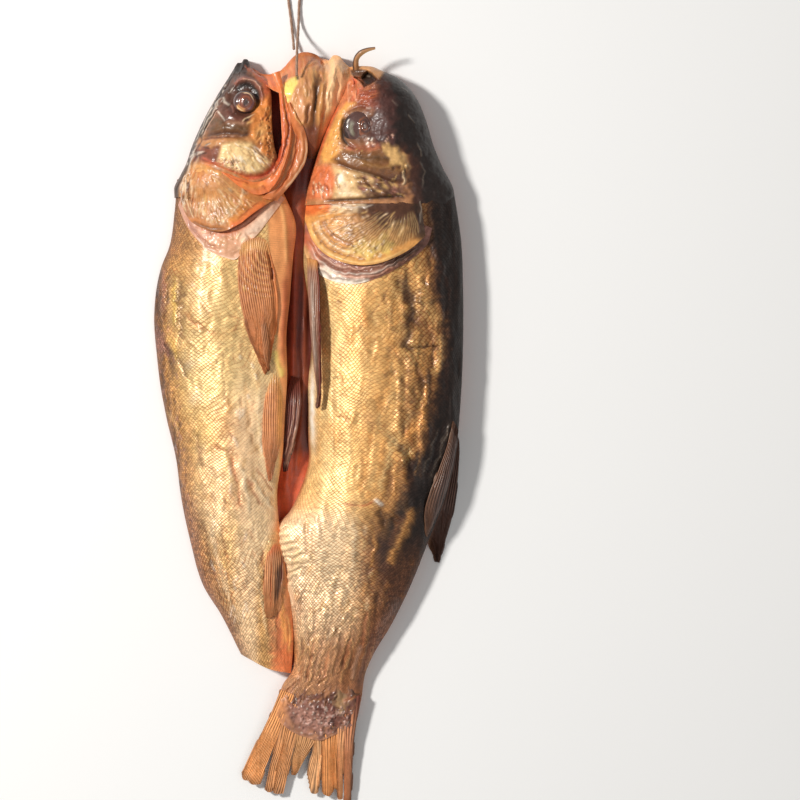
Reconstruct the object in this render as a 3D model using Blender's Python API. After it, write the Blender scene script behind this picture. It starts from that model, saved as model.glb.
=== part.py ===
"""A hot-smoked silver carp, split along its back and opened flat, with the loop of twine it hung by.

The fish lies on its cut side with the skin up. The heads point to +Y, the tail to -Y. Its left half
lies at -X and its right half, which keeps the backbone and the tail, at +X. The belly keel runs
between the two halves. The origin is on the table, under the middle of the fish.
"""

import math

import bmesh
import bpy
import numpy as np
from mathutils import Vector
from mathutils.bvhtree import BVHTree

MM = 0.001

# Rails are edges seen from above, as (x, y, height) in millimetres, from the head towards the tail.
# Crests are the heights of the arch between two rails, at equal steps along them.
FLANK_LEFT_BACK = [(-99, 188, 7), (-105, 140, 6), (-114, 108, 5), (-116.5, 72, 5), (-111, 29, 5),
                   (-97, -47, 5), (-75, -124, 4), (-49, -172, 3)]
FLANK_LEFT_KEEL = [(-24, 181, 16), (-15, 140, 20), (-13, 82, 24), (-14, 22, 24), (-15, -31, 23),
                   (-17, -76, 22), (-16, -121, 20), (-10, -183, 10)]
FLANK_LEFT_CREST = [30, 36, 37.5, 38, 37, 34, 28, 13]

FLANK_RIGHT_BACK = [(109, 181, 18), (116.5, 104, 19), (116.5, 67, 19), (115, 20, 18), (112, -16, 17),
                    (101, -53, 15), (88, -87, 13), (62, -148, 10), (42, -188, 7), (36, -220, 3.5)]
FLANK_RIGHT_KEEL = [(-1, 172, 12), (1, 97, 10), (1, 20, 10), (2, -27, 11), (-8, -50, 13),
                    (-26, -78, 15), (-14, -120, 15), (-10, -165, 12), (-18, -190, 7), (-32, -220, 3.5)]
FLANK_RIGHT_CREST = [44, 46, 46, 45, 42, 38, 34, 28, 20, 7]

HEAD_LEFT_RIM = [(-50, 277, 9), (-58, 268, 10), (-69, 251, 10), (-81, 228, 9), (-92, 204, 8), (-100, 176, 7)]
HEAD_LEFT_MOUTH = [(-45, 275, 9), (-36, 266, 19), (-24, 260, 24), (-17, 234, 27), (-15, 208, 26), (-24, 174, 20)]
HEAD_LEFT_CREST = [14, 27, 34, 38, 38, 34]

HEAD_RIGHT_RIM = [(54, 272, 12), (74, 263, 18), (86, 252, 20), (94, 230, 20), (102, 206, 19), (110, 178, 18)]
HEAD_RIGHT_MOUTH = [(30, 274, 12), (29, 262, 22), (24, 239, 23), (14, 217, 20), (5, 194, 15), (-1, 168, 12)]
HEAD_RIGHT_CREST = [22, 38, 45, 48, 48, 44]

CHIN_LEFT = [(-7, 283, 6), (-14, 277, 16), (-27, 264, 22), (-16, 240, 26), (-5, 217, 22), (-6, 190, 14), (-14, 150, 9)]
CHIN_RIGHT = [(20, 283, 6), (26, 277, 16), (31, 262, 24), (24, 239, 24), (14, 217, 20), (5, 190, 12), (2, 150, 8)]
CHIN_CREST = [10, 28, 35, 36, 33, 20, 12]

# What lies on the body has edges as (x, y) only: they are laid on what is under them, with a lift.
GILL_COVERS = {
    "gill_left": ([(-91, 196), (-78, 201), (-50, 190), (-32, 189), (-18, 206)],
                  [(-95, 174), (-90, 160), (-65, 147), (-42, 155), (-9, 186)]),
    "gill_right": ([(102, 188), (84, 186), (60, 173), (24, 171), (4, 180)],
                   [(106, 162), (92, 146), (60, 125), (24, 126), (2, 156)]),
}
GILL_FRONT_LIFT = 1.2
GILL_REAR_LIFT = 3.5
GILL_BULGE = 3.0
GILL_DEPTH = 14

# The floor of the fold between the two halves, where the belly skin runs across.
FOLD_LEFT = [(-30, 255, 5), (-26, 200, 4), (-22, 60, 4), (-24, -80, 4), (-16, -178, 4)]
FOLD_RIGHT = [(28, 255, 5), (12, 200, 4), (10, 60, 4), (10, -80, 4), (6, -178, 4)]
FOLD_CREST = [13, 10, 8, 8, 9]

FINS_ON_BODY = {
    "pectoral_left": ([(-51, 131), (-50, 110), (-46, 85), (-38, 55), (-31, 38)],
                      [(-33, 139), (-26, 120), (-21, 98), (-21, 68), (-27, 38)]),
    "pelvic_left": ([(-30, 44), (-33, 20), (-33, -8), (-30, -26), (-27, -41)],
                    [(-19, 44), (-17, 20), (-17, -8), (-21, -26), (-24, -41)]),
    "anal": ([(-27, -88), (-31, -104), (-33, -122), (-31, -142)],
             [(-18, -88), (-18, -104), (-20, -122), (-26, -141)]),
}
FIN_LIFT = 2.0
FIN_BULGE = 1.5
FIN_DEPTH = 12

# Fins that reach over the fold between the two halves, with the height of their upper edges.
FINS_OVER_FOLD = {
    "pectoral_right": ([(0, 130, 22), (0, 100, 27), (4, 67, 31), (7, 40, 33), (9, 20, 34)],
                       [(9, 128, 33), (14, 104, 38), (16, 74, 40), (14, 44, 39), (11, 20, 36)], 20),
    "pelvic_right": ([(-13, 42, 16), (-14, 22, 19), (-15, -1, 20), (-16, -20, 19), (-16, -34, 17)],
                     [(-3, 40, 17), (-1, 22, 21), (-4, -1, 22), (-9, -20, 20), (-14, -34, 18)], 16),
}

DORSAL_NEAR = [(108, -4, 21), (105, -30, 21), (97, -55, 19), (90, -80, 17), (93, -99, 15)]
DORSAL_FAR = [(115.5, -6, 18), (115.5, -31, 18), (111, -60, 17), (104, -84, 16), (96, -101, 15)]
DORSAL_THICKNESS = 2.0

# Each strip of the torn tail fin: its two root points and its two tip points.
TAIL_STRIPS = [
    ((-31, -214), (-12, -222), (-50, -260), (-37, -269)),
    ((-22, -216), (-4, -222), (-32, -271), (-21, -275)),
    ((-13, -218), (4, -222), (-22, -270), (-11, -259)),
    ((2, -222), (16, -218), (-1, -257), (9, -264)),
    ((4, -222), (20, -218), (4, -276), (11, -262)),
    ((14, -220), (28, -218), (11, -276), (19, -276)),
    ((20, -220), (33, -216), (19, -276), (26, -275)),
    ((25, -218), (36, -212), (27, -283), (31.5, -283.5)),
]
TAIL_ROOT_HEIGHT = 7.5
TAIL_TIP_HEIGHT = 4.5
TAIL_THICKNESS = 2.6

EYES = [((-47, 244, 35.5), 9.5), ((33, 224, 42), 11)]
EYE_FLATNESS = 0.5

MOUTH_POCKET = ((41, 267, 25), (9.5, 4.5, 16))

LIP_CURL = [(37, 268, 16), (37, 275, 21), (36.5, 280, 25), (39, 283, 28), (44, 283.5, 29), (50, 283, 29.5)]
LIP_CURL_RADIUS = 1.5

TWINE_DIAMETER = 2.2
TWINE_ROUTE = [(-8, 263.5, 37.2), (-8, 270, 36.4), (-8, 277, 32.8), (-8, 284, 27), (-8, 290, 18.5),
               (-7.8, 296.5, 10), (-7.6, 304, 4.4), (-7.4, 313, 1.9), (-7, 322, 1.3), (-5.8, 332, 1.2),
               (-5.6, 340, 1.2), (-8.2, 346, 1.2), (-12.6, 347, 1.2), (-16, 341.5, 1.2), (-16, 333, 1.2),
               (-15, 322, 1.2), (-13.4, 310, 1.4), (-12.2, 299, 2.6), (-11.4, 292, 4.6), (-11, 286, 7)]
TWINE_SPACING = 4.0

SECTIONS = 22
ARCH_POINTS = 12
TUCK = 6

BODY_CORE = (10, -60, 1), (60, 60, 20)
TABLE = (-200, -400, -60), (200, 400, 0)
SLIVER = 0.00001


def smooth(points, count, even=False):
    """Returns count points along a smooth curve through the given ones."""
    knots = np.array(points, dtype=float)
    if even:
        at_knot = np.arange(len(knots), dtype=float)
    else:
        at_knot = np.concatenate([[0.0], np.cumsum(np.linalg.norm(np.diff(knots, axis=0), axis=1))])
    slope = np.gradient(knots, at_knot, axis=0)
    along = np.linspace(0.0, at_knot[-1], count)
    i = np.clip(np.searchsorted(at_knot, along, side="right") - 1, 0, len(knots) - 2)
    gap = (at_knot[i + 1] - at_knot[i])[:, None]
    s = (along - at_knot[i])[:, None] / gap
    return ((1 + 2 * s) * (1 - s) ** 2 * knots[i] + s * (1 - s) ** 2 * gap * slope[i]
            + s * s * (3 - 2 * s) * knots[i + 1] + s * s * (s - 1) * gap * slope[i + 1])


def new_object(name, mesh, collection):
    """Puts a mesh in the scene and returns its object."""
    obj = bpy.data.objects.new(name, mesh)
    collection.objects.link(obj)
    return obj


def loft(name, rings, collection):
    """Closes a row of rings, in millimetres, into one solid with flat ends."""
    bm = bmesh.new()
    rows = [[bm.verts.new([c * MM for c in point]) for point in ring] for ring in rings]
    for here, there in zip(rows, rows[1:]):
        for k in range(len(here)):
            n = (k + 1) % len(here)
            bm.faces.new((here[k], here[n], there[n], there[k]))
    bm.faces.new(rows[0])
    bm.faces.new(rows[-1])
    bmesh.ops.triangulate(bm, faces=bm.faces[:])
    bmesh.ops.recalc_face_normals(bm, faces=bm.faces[:])
    mesh = bpy.data.meshes.new(name)
    bm.to_mesh(mesh)
    bm.free()
    return new_object(name, mesh, collection)


def arch(name, one_edge, other_edge, crest, collection, crest_at=0.5, fullness=0.75,
         floor=-6.0, sections=SECTIONS, across=ARCH_POINTS, tuck=TUCK):
    """An arched solid between two edges seen from above, with a flat floor."""
    one = smooth(one_edge, sections)
    other = smooth(other_edge, sections)
    top = smooth([(h,) for h in crest], sections, even=True)[:, 0]
    skew = math.log(0.5) / math.log(crest_at)
    rings = []
    for a, b, high in zip(one, other, top):
        inward = (b - a) / np.linalg.norm((b - a)[:2])
        ring = [np.append((a + inward * tuck)[:2], floor)]
        for v in np.linspace(0, 1, across):
            s = (1 - math.cos(math.pi * v)) / 2
            edge = a + (b - a) * s
            bulge = math.sin(math.pi * s ** skew) ** fullness if 0 < v < 1 else 0.0
            ring.append(np.append(edge[:2], edge[2] + max(high - edge[2], 0) * bulge))
        ring.append(np.append((b - inward * tuck)[:2], floor))
        rings.append(ring)
    return loft(name, rings, collection)


def plate(name, near, far, thickness, collection, sections=8):
    """A thin blade between two edges."""
    one = smooth(near, sections)
    other = smooth(far, sections)
    half = np.array([0, 0, thickness / 2])
    rings = []
    for a, b in zip(one, other):
        middle = (a + b) / 2
        rings.append([a - half * 0.6, a + half * 0.6, middle + half, b + half * 0.6, b - half * 0.6, middle - half])
    return loft(name, rings, collection)


def flanks(collection):
    """The two halves of the body, and the fold of belly skin between them."""
    yield arch("flank_left", FLANK_LEFT_BACK, FLANK_LEFT_KEEL, FLANK_LEFT_CREST, collection,
               crest_at=0.45, fullness=0.6, floor=-6.0, sections=26, tuck=5)
    yield arch("flank_right", FLANK_RIGHT_BACK, FLANK_RIGHT_KEEL, FLANK_RIGHT_CREST, collection,
               crest_at=0.5, fullness=0.65, floor=-7.0, sections=34, across=14, tuck=5)
    yield arch("fold", FOLD_LEFT, FOLD_RIGHT, FOLD_CREST, collection, floor=-8.0, sections=10, across=6, tuck=1)


def heads(collection):
    """Both half heads and the lower jaw between them."""
    yield arch("head_left", HEAD_LEFT_RIM, HEAD_LEFT_MOUTH, HEAD_LEFT_CREST, collection,
               crest_at=0.5, fullness=0.6, floor=-9.0, sections=14, tuck=1)
    yield arch("head_right", HEAD_RIGHT_RIM, HEAD_RIGHT_MOUTH, HEAD_RIGHT_CREST, collection,
               crest_at=0.5, fullness=0.6, floor=-10.0, sections=14, tuck=3)
    yield arch("chin", CHIN_LEFT, CHIN_RIGHT, CHIN_CREST, collection,
               crest_at=0.45, fullness=0.8, floor=-11.0, sections=16, tuck=1)


def drape(points, lift, collection):
    """Lays an edge on the highest solid under it, raised by the lift."""
    trees = [BVHTree.FromObject(o, bpy.context.evaluated_depsgraph_get()) for o in collection.objects]
    laid = []
    for x, y in points:
        start = Vector((x * MM, y * MM, 1.0))
        hits = [tree.ray_cast(start, Vector((0, 0, -1)))[0] for tree in trees]
        high = max((hit.z for hit in hits if hit is not None), default=0.0)
        laid.append((x, y, high / MM + lift))
    return laid


def laid_arch(name, one_edge, other_edge, bulge, depth, collection, sections, across):
    """A thick scale or blade that stands a little proud of what it lies on."""
    crest = [max(a[2], b[2]) + bulge for a, b in zip(one_edge, other_edge)]
    floor = min(p[2] for p in one_edge + other_edge) - depth
    return arch(name, one_edge, other_edge, crest, collection, fullness=0.6,
                floor=floor, sections=sections, across=across, tuck=0.5)


def gill_covers(collection):
    """The two gill covers, each a fan whose rear edge stands off the shoulder."""
    for name, (front, rear) in GILL_COVERS.items():
        laid = drape(front, GILL_FRONT_LIFT, collection), drape(rear, GILL_REAR_LIFT, collection)
        yield laid_arch(name, *laid, GILL_BULGE, GILL_DEPTH, collection, 12, 8)


def eyes(collection):
    """The flattened balls of the two dried eyes."""
    for number, (centre, radius) in enumerate(EYES):
        yield ball(f"eye_{number + 1}", centre, (radius, radius, radius * EYE_FLATNESS), collection)


def lips(collection):
    """The curl that stands up from the right lip."""
    yield as_mesh(tube("lip_curl", LIP_CURL, LIP_CURL_RADIUS, 3.0, 1, collection), collection)


def fins(collection):
    """The fins that lie on the body, the drooping dorsal fin and the torn tail fin."""
    for name, (near, far) in FINS_ON_BODY.items():
        laid = drape(near, FIN_LIFT, collection), drape(far, FIN_LIFT, collection)
        yield laid_arch(name, *laid, FIN_BULGE, FIN_DEPTH, collection, 9, 6)
    for name, (near, far, depth) in FINS_OVER_FOLD.items():
        yield laid_arch(name, near, far, FIN_BULGE, depth, collection, 9, 6)
    yield plate("dorsal", DORSAL_NEAR, DORSAL_FAR, DORSAL_THICKNESS, collection)
    for number, (root_a, root_b, tip_a, tip_b) in enumerate(TAIL_STRIPS):
        drop = 0.13 * (number % 2)
        near = [root_a + (TAIL_ROOT_HEIGHT + drop,), tip_a + (TAIL_TIP_HEIGHT + drop,)]
        far = [root_b + (TAIL_ROOT_HEIGHT + drop,), tip_b + (TAIL_TIP_HEIGHT + drop,)]
        yield plate(f"tail_strip_{number + 1}", near, far, TAIL_THICKNESS, collection, sections=4)


def tube(name, route, radius, spacing, resolution, collection):
    """A round cord or curl along a smooth route, as a curve with filled caps."""
    route = np.array(route, dtype=float)
    length = np.linalg.norm(np.diff(route, axis=0), axis=1).sum()
    points = smooth(route, int(length / spacing) + 2)
    curve = bpy.data.curves.new(name, "CURVE")
    curve.dimensions = "3D"
    curve.bevel_depth = radius * MM
    curve.bevel_resolution = resolution
    curve.use_fill_caps = True
    spline = curve.splines.new("POLY")
    spline.points.add(len(points) - 1)
    for target, point in zip(spline.points, points):
        target.co = (*[c * MM for c in point], 1.0)
    return new_object(name, curve, collection)


def as_mesh(obj, collection):
    """Turns a curve object into a mesh object with its caps welded on."""
    evaluated = obj.evaluated_get(bpy.context.evaluated_depsgraph_get())
    mesh = bpy.data.meshes.new_from_object(evaluated)
    bm = bmesh.new()
    bm.from_mesh(mesh)
    bmesh.ops.remove_doubles(bm, verts=bm.verts[:], dist=0.00001)
    bmesh.ops.triangulate(bm, faces=bm.faces[:])
    bm.to_mesh(mesh)
    bm.free()
    made = new_object(obj.name + "_mesh", mesh, collection)
    made.matrix_world = obj.matrix_world
    bpy.data.objects.remove(obj)
    return made


def ball(name, centre, radii, collection):
    """An ellipsoid, for an eye or a pocket."""
    bm = bmesh.new()
    bmesh.ops.create_uvsphere(bm, u_segments=14, v_segments=8, radius=MM)
    bmesh.ops.scale(bm, verts=bm.verts[:], vec=radii)
    bmesh.ops.translate(bm, verts=bm.verts[:], vec=[c * MM for c in centre])
    bmesh.ops.triangulate(bm, faces=bm.faces[:])
    mesh = bpy.data.meshes.new(name)
    bm.to_mesh(mesh)
    bm.free()
    return new_object(name, mesh, collection)


def block(name, low, high, collection):
    """A box between two corners, in millimetres."""
    bm = bmesh.new()
    bmesh.ops.create_cube(bm, size=1.0)
    low, high = np.array(low, dtype=float), np.array(high, dtype=float)
    bmesh.ops.scale(bm, verts=bm.verts[:], vec=(high - low) * MM)
    bmesh.ops.translate(bm, verts=bm.verts[:], vec=(high + low) / 2 * MM)
    mesh = bpy.data.meshes.new(name)
    bm.to_mesh(mesh)
    bm.free()
    return new_object(name, mesh, collection)


def boolean(obj, operation, other=None, others=None):
    """Joins an object, or a whole collection at once, to obj, or cuts it away."""
    step = obj.modifiers.new(operation, "BOOLEAN")
    step.operation = operation
    step.solver = "EXACT"
    if others is None:
        step.object = other
    else:
        step.operand_type = "COLLECTION"
        step.collection = others
    evaluated = obj.evaluated_get(bpy.context.evaluated_depsgraph_get())
    mesh = bpy.data.meshes.new_from_object(evaluated)
    obj.modifiers.clear()
    obj.data = mesh


def finish_mesh(obj):
    """Welds hair-thin slivers and makes the mesh triangles."""
    bm = bmesh.new()
    bm.from_mesh(obj.data)
    bmesh.ops.remove_doubles(bm, verts=bm.verts[:], dist=SLIVER)
    bmesh.ops.dissolve_degenerate(bm, edges=bm.edges[:], dist=SLIVER)
    bmesh.ops.triangulate(bm, faces=bm.faces[:])
    bm.to_mesh(obj.data)
    bm.free()


def material(name, colour, roughness):
    """A plain Principled material."""
    made = bpy.data.materials.new(name)
    made.use_nodes = True
    shader = made.node_tree.nodes["Principled BSDF"]
    shader.inputs["Base Color"].default_value = (*colour, 1.0)
    shader.inputs["Roughness"].default_value = roughness
    shader.inputs["Metallic"].default_value = 0.0
    return made


def hide(obj):
    """Marks a cutter or a guide."""
    obj.hide_render = True
    obj.display_type = "WIRE"


def make_fish(collection, pieces, cutters):
    """Joins all of the fish into one solid and cuts it flat where it lies."""
    fish = block("fish", *BODY_CORE, collection)
    for group in (flanks, heads, gill_covers, eyes, fins, lips):
        list(group(pieces))
    boolean(fish, "UNION", others=pieces)
    boolean(fish, "DIFFERENCE", ball("mouth_pocket", *MOUTH_POCKET, cutters))
    boolean(fish, "DIFFERENCE", block("table", *TABLE, cutters))
    finish_mesh(fish)
    fish.data.materials.clear()
    fish.data.materials.append(material("smoked_skin", (0.62, 0.36, 0.14), 0.35))


def make_twine(collection):
    """The doubled twine: out of the jaw, round a bight and back to the jaw."""
    twine = tube("twine", TWINE_ROUTE, TWINE_DIAMETER / 2, TWINE_SPACING, 2, collection)
    twine.data.materials.append(material("twine", (0.36, 0.25, 0.16), 0.85))
    return twine


def main():
    for obj in list(bpy.data.objects):
        bpy.data.objects.remove(obj)
    collection, pieces, cutters = [bpy.data.collections.new(n) for n in ("smoked_fish", "pieces", "cutters")]
    for made in (collection, pieces, cutters):
        bpy.context.scene.collection.children.link(made)
    make_fish(collection, pieces, cutters)
    make_twine(collection)
    for obj in [*pieces.objects, *cutters.objects]:
        hide(obj)


main()
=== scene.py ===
# %% [markdown]
# # A smoked carp, split along its back
#
# The fish was cut along its back, skull and all, opened like a book and smoked on a loop of twine.
# Here it lies on its cut side, with the skin up. Each half is one broad piece of scaled skin. The
# heads, gill covers, jaws, fins and the torn tail are pieces of their own that lie on each other, as
# dried skin and bone do. All of it is modelled in millimetres and made metres at the end.

# %% Load the frame
import math

import bmesh
import bpy
import numpy as np
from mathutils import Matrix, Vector
from mathutils.bvhtree import BVHTree


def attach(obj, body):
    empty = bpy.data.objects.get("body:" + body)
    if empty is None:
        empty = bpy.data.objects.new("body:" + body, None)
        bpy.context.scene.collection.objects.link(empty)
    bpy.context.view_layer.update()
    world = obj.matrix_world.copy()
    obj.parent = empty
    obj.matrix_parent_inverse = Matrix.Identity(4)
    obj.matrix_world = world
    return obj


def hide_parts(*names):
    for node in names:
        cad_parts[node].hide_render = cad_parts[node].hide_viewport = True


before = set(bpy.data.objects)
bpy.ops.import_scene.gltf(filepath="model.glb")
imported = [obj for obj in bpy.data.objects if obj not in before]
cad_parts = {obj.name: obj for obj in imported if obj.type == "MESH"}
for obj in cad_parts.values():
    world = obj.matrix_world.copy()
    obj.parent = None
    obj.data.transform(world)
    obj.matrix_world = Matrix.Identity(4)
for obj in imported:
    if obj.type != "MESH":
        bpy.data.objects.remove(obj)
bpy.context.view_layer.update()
MM = 0.001

# %% [markdown]
# ## Camera
#
# The fish lies flat, so the camera looks straight down on it. A long lens, far away, keeps the far
# flank from leaning. The frame is 600 mm wide, with the fish in its left two thirds.

# %% Camera straight above
VIEW_CENTRE = (69.0, 21.75)
VIEW_WIDTH = 600.0
CAMERA_HEIGHT = 2800.0
FOCUS_HEIGHT = 20.0
SENSOR = 36.0

bpy.ops.object.select_all(action="DESELECT")
bpy.ops.object.camera_add(location=(VIEW_CENTRE[0] * MM, VIEW_CENTRE[1] * MM, CAMERA_HEIGHT * MM))
camera = bpy.context.object
camera.name = "camera"
camera.data.sensor_width = SENSOR
camera.data.lens = SENSOR * (CAMERA_HEIGHT - FOCUS_HEIGHT) / VIEW_WIDTH
bpy.context.scene.camera = camera
print("camera lens in mm:", round(camera.data.lens, 1))

# %% [markdown]
# ## Curves and rails
#
# Everything here is drawn with smooth curves through a few points: the edges of a skin, the path of a
# wrinkle, the twine. One function reads such a curve anywhere along its length, and another does the
# same for a plain row of numbers.


# %% Smooth curves through points
def hermite(knots, at_knot, along):
    """Reads a smooth curve through knots at the given places along it."""
    slope = np.gradient(knots, at_knot, axis=0)
    i = np.clip(np.searchsorted(at_knot, along, side="right") - 1, 0, len(knots) - 2)
    gap = (at_knot[i + 1] - at_knot[i])[:, None]
    f = (along - at_knot[i])[:, None] / gap
    return ((1 + 2 * f) * (1 - f) ** 2 * knots[i] + f * (1 - f) ** 2 * gap * slope[i]
            + f * f * (3 - 2 * f) * knots[i + 1] + f * f * (f - 1) * gap * slope[i + 1])


def curve_at(points, t):
    """Points along a curve, for t from 0 to 1 of its length."""
    knots = np.array(points, dtype=float)
    at_knot = np.concatenate([[0.0], np.cumsum(np.linalg.norm(np.diff(knots, axis=0), axis=1))])
    return hermite(knots, at_knot, np.asarray(t, dtype=float) * at_knot[-1])


def values_at(values, t):
    """A smooth row of numbers that stand at equal steps, read at t from 0 to 1."""
    knots = np.array(values, dtype=float)[:, None]
    at_knot = np.arange(len(knots), dtype=float)
    return hermite(knots, at_knot, np.asarray(t, dtype=float) * at_knot[-1])[:, 0]


def length_of(points):
    """Length of a path of straight steps."""
    return np.linalg.norm(np.diff(np.array(points, dtype=float), axis=0), axis=1).sum()


# %% [markdown]
# ## Twine
#
# The fish hung from a loop of two-ply twine that is tied through the tip of the jaw. Off its hook
# the loop is limp: it comes out of the jaw, down to the table, round its bight and back again. It is a
# free cord, so it is settled before everything else. A tube with two lobes that turn along it shows
# the two plies.

# %% Twine with two plies
TWINE_DIAMETER = 2.2
TWINE_ROUTE = [(-8, 263.5, 37.2), (-8, 270, 36.4), (-8, 277, 32.8), (-8, 284, 27), (-8, 290, 18.5),
               (-7.8, 296.5, 10), (-7.6, 304, 4.4), (-7.4, 313, 1.9), (-7, 322, 1.3), (-5.8, 332, 1.2),
               (-5.6, 340, 1.2), (-8.2, 346, 1.2), (-12.6, 347, 1.2), (-16, 341.5, 1.2), (-16, 333, 1.2),
               (-15, 322, 1.2), (-13.4, 310, 1.4), (-12.2, 299, 2.6), (-11.4, 292, 4.6), (-11, 286, 7)]
TWINE_STEP = 0.4
TWINE_SIDES = 18
PLY_PITCH = 6.5
PLY_LOW, PLY_HIGH = 0.74, 0.94


def twine_centreline():
    """Points along the twine at even steps, in millimetres."""
    rough = curve_at(TWINE_ROUTE, np.linspace(0, 1, 2000))
    count = int(length_of(rough) / TWINE_STEP)
    return curve_at(TWINE_ROUTE, np.linspace(0, 1, count))


def twine_rings(centre):
    """Rings of points round the centreline, two-lobed and turning along it."""
    along = np.gradient(centre, axis=0)
    along /= np.linalg.norm(along, axis=1)[:, None]
    side = np.cross(along, [0, 0, 1.0])
    side /= np.linalg.norm(side, axis=1)[:, None]
    up = np.cross(side, along)
    around = np.linspace(0, 2 * math.pi, TWINE_SIDES + 1)
    run = np.arange(len(centre)) * TWINE_STEP
    lobe = np.abs(np.cos(around[None, :] - 2 * math.pi * run[:, None] / (2 * PLY_PITCH)))
    radius = TWINE_DIAMETER / 2 * (PLY_LOW + (PLY_HIGH - PLY_LOW) * lobe ** 0.7)
    fibres = 0.045 * np.cos(around[None, :] * 9 + run[:, None] * 2.3)
    radius = radius + fibres
    return (centre[:, None, :] + side[:, None, :] * (np.cos(around) * radius)[..., None]
            + up[:, None, :] * (np.sin(around) * radius)[..., None])


# %% [markdown]
# ## From points to a mesh
#
# A grid is the right start for a skin, because each of its points can be moved by numbers. The grid
# is added in place, its points take the worked-out form, and its colours are kept at its points as
# an attribute called tone. A second attribute, finish, says how scaly and how glossy each point is,
# and how strongly the painted shade on the scale rims and the painted glints of single scales show
# there. A round body is a grid whose sides meet underneath, and a thin skin gets Solidify.


# %% A grid that takes a form
def add_grid(name, points, tone, finish, uv):
    """Adds a grid object and puts its points in place. The arrays are rows of columns."""
    rows, columns = points.shape[:2]
    bpy.ops.object.select_all(action="DESELECT")
    bpy.ops.mesh.primitive_grid_add(x_subdivisions=columns - 1, y_subdivisions=rows - 1, size=1)
    obj = bpy.context.object
    obj.name = name
    mesh = obj.data
    mesh.name = name
    start = np.empty(len(mesh.vertices) * 3)
    mesh.vertices.foreach_get("co", start)
    start = start.reshape(-1, 3)
    column = np.rint((start[:, 0] + 0.5) * (columns - 1)).astype(int)
    row = rows - 1 - np.rint((start[:, 1] + 0.5) * (rows - 1)).astype(int)
    mesh.vertices.foreach_set("co", (points[row, column] * MM).ravel())
    for label, values in (("tone", tone), ("finish", finish)):
        layer = mesh.attributes.new(label, "FLOAT_COLOR", "POINT")
        alpha = np.ones((len(start), 1))
        layer.data.foreach_set("color", np.hstack([values[row, column], alpha]).ravel())
    corner = np.empty(len(mesh.loops), dtype=int)
    mesh.loops.foreach_get("vertex_index", corner)
    mesh.uv_layers[0].data.foreach_set("uv", uv[row, column][corner].ravel())
    mesh.uv_layers[0].name = "UVMap"
    mesh.update()
    return obj


def close_up(obj):
    """Merges the seam of a rolled-up grid and fills its two open ends."""
    bpy.context.view_layer.objects.active = obj
    bpy.ops.object.mode_set(mode="EDIT")
    bpy.ops.mesh.select_all(action="SELECT")
    bpy.ops.mesh.remove_doubles(threshold=0.000001)
    bpy.ops.mesh.select_all(action="SELECT")
    bpy.ops.mesh.fill_holes(sides=0)
    bpy.ops.mesh.select_all(action="SELECT")
    bpy.ops.mesh.normals_make_consistent(inside=False)
    bpy.ops.mesh.select_all(action="DESELECT")
    bpy.ops.object.mode_set(mode="OBJECT")


def add_thickness(obj, thickness):
    """Gives a thin skin its thickness, downwards."""
    bpy.ops.object.modifier_add(type="SOLIDIFY")
    step = obj.modifiers[-1]
    step.thickness = thickness * MM
    step.offset = -1.0
    bpy.ops.object.modifier_apply(modifier=step.name)


def smooth_shade(obj, angle=50):
    """Smooth shading that keeps edges sharper than the angle."""
    bpy.ops.object.select_all(action="DESELECT")
    obj.select_set(True)
    bpy.context.view_layer.objects.active = obj
    bpy.ops.object.shade_smooth_by_angle(angle=math.radians(angle))


def settle(obj, material, node="fish"):
    """Gives a finished piece its material and its place in the frame."""
    obj.data.materials.clear()
    obj.data.materials.append(material)
    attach(obj, "root")
    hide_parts(node)
    triangles = sum(len(p.vertices) - 2 for p in obj.data.polygons)
    print(f"{obj.name}: {triangles} triangles")
    return obj


# %% [markdown]
# ## Colours
#
# Smoke turns silver skin gold, orange where the fat has come through, and nearly black along the
# back. The colours are given as they look on a screen and turned into the linear values that a
# shader wants.


# %% The smoker's palette
def screen(red, green, blue):
    """A colour from 0 to 255 as it looks on a screen, made linear."""
    c = np.array([red, green, blue]) / 255.0
    return np.where(c <= 0.04045, c / 12.92, ((c + 0.055) / 1.055) ** 2.4)


CREAM = screen(242, 211, 148)
PALE = screen(238, 214, 176)
STRAW = screen(234, 194, 126)
GOLD = screen(232, 186, 118)
HONEY = screen(214, 156, 88)
AMBER = screen(226, 150, 72)
ORANGE = screen(226, 118, 62)
CORAL = screen(208, 96, 66)
RUST = screen(180, 92, 52)
TAN = screen(186, 132, 88)
OLIVE = screen(150, 110, 62)
BROWN = screen(122, 80, 54)
UMBER = screen(78, 50, 38)
MAROON = screen(104, 42, 30)
DARK = screen(52, 32, 27)
BLACK = screen(33, 26, 24)
MAUVE = screen(160, 112, 100)
PINK = screen(226, 186, 164)
SILVER = screen(214, 204, 192)
GREY = screen(128, 116, 104)
YELLOW = screen(255, 234, 130)
WHITE = screen(255, 250, 238)
FLESH = screen(176, 96, 60)


# %% [markdown]
# ## Shaping by strokes
#
# A dried fish is all wrinkles, folds, bruises and glints, and no modifier knows where they are. A
# Skin holds a sheet of points with heights and colours, and is worked on like clay: a stroke is a
# ridge, a groove or a line of colour along a path, a blot is a soft oval, and a patch fills an
# outline. Noise from a seeded table makes them uneven and gives the same fish each time.


# %% Noise that is the same each time
def noise(x, y, size, seed):
    """Smooth random values from -1 to 1 that change over the given size."""
    table = np.random.default_rng(seed).uniform(-1, 1, (128, 128))
    u, v = x / size + 512, y / size + 512
    i, j = np.floor(u).astype(int), np.floor(v).astype(int)
    f, g = u - i, v - j
    f, g = f * f * (3 - 2 * f), g * g * (3 - 2 * g)
    i, j, i2, j2 = i % 128, j % 128, (i + 1) % 128, (j + 1) % 128
    return ((table[i, j] * (1 - f) + table[i2, j] * f) * (1 - g)
            + (table[i, j2] * (1 - f) + table[i2, j2] * f) * g)


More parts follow.
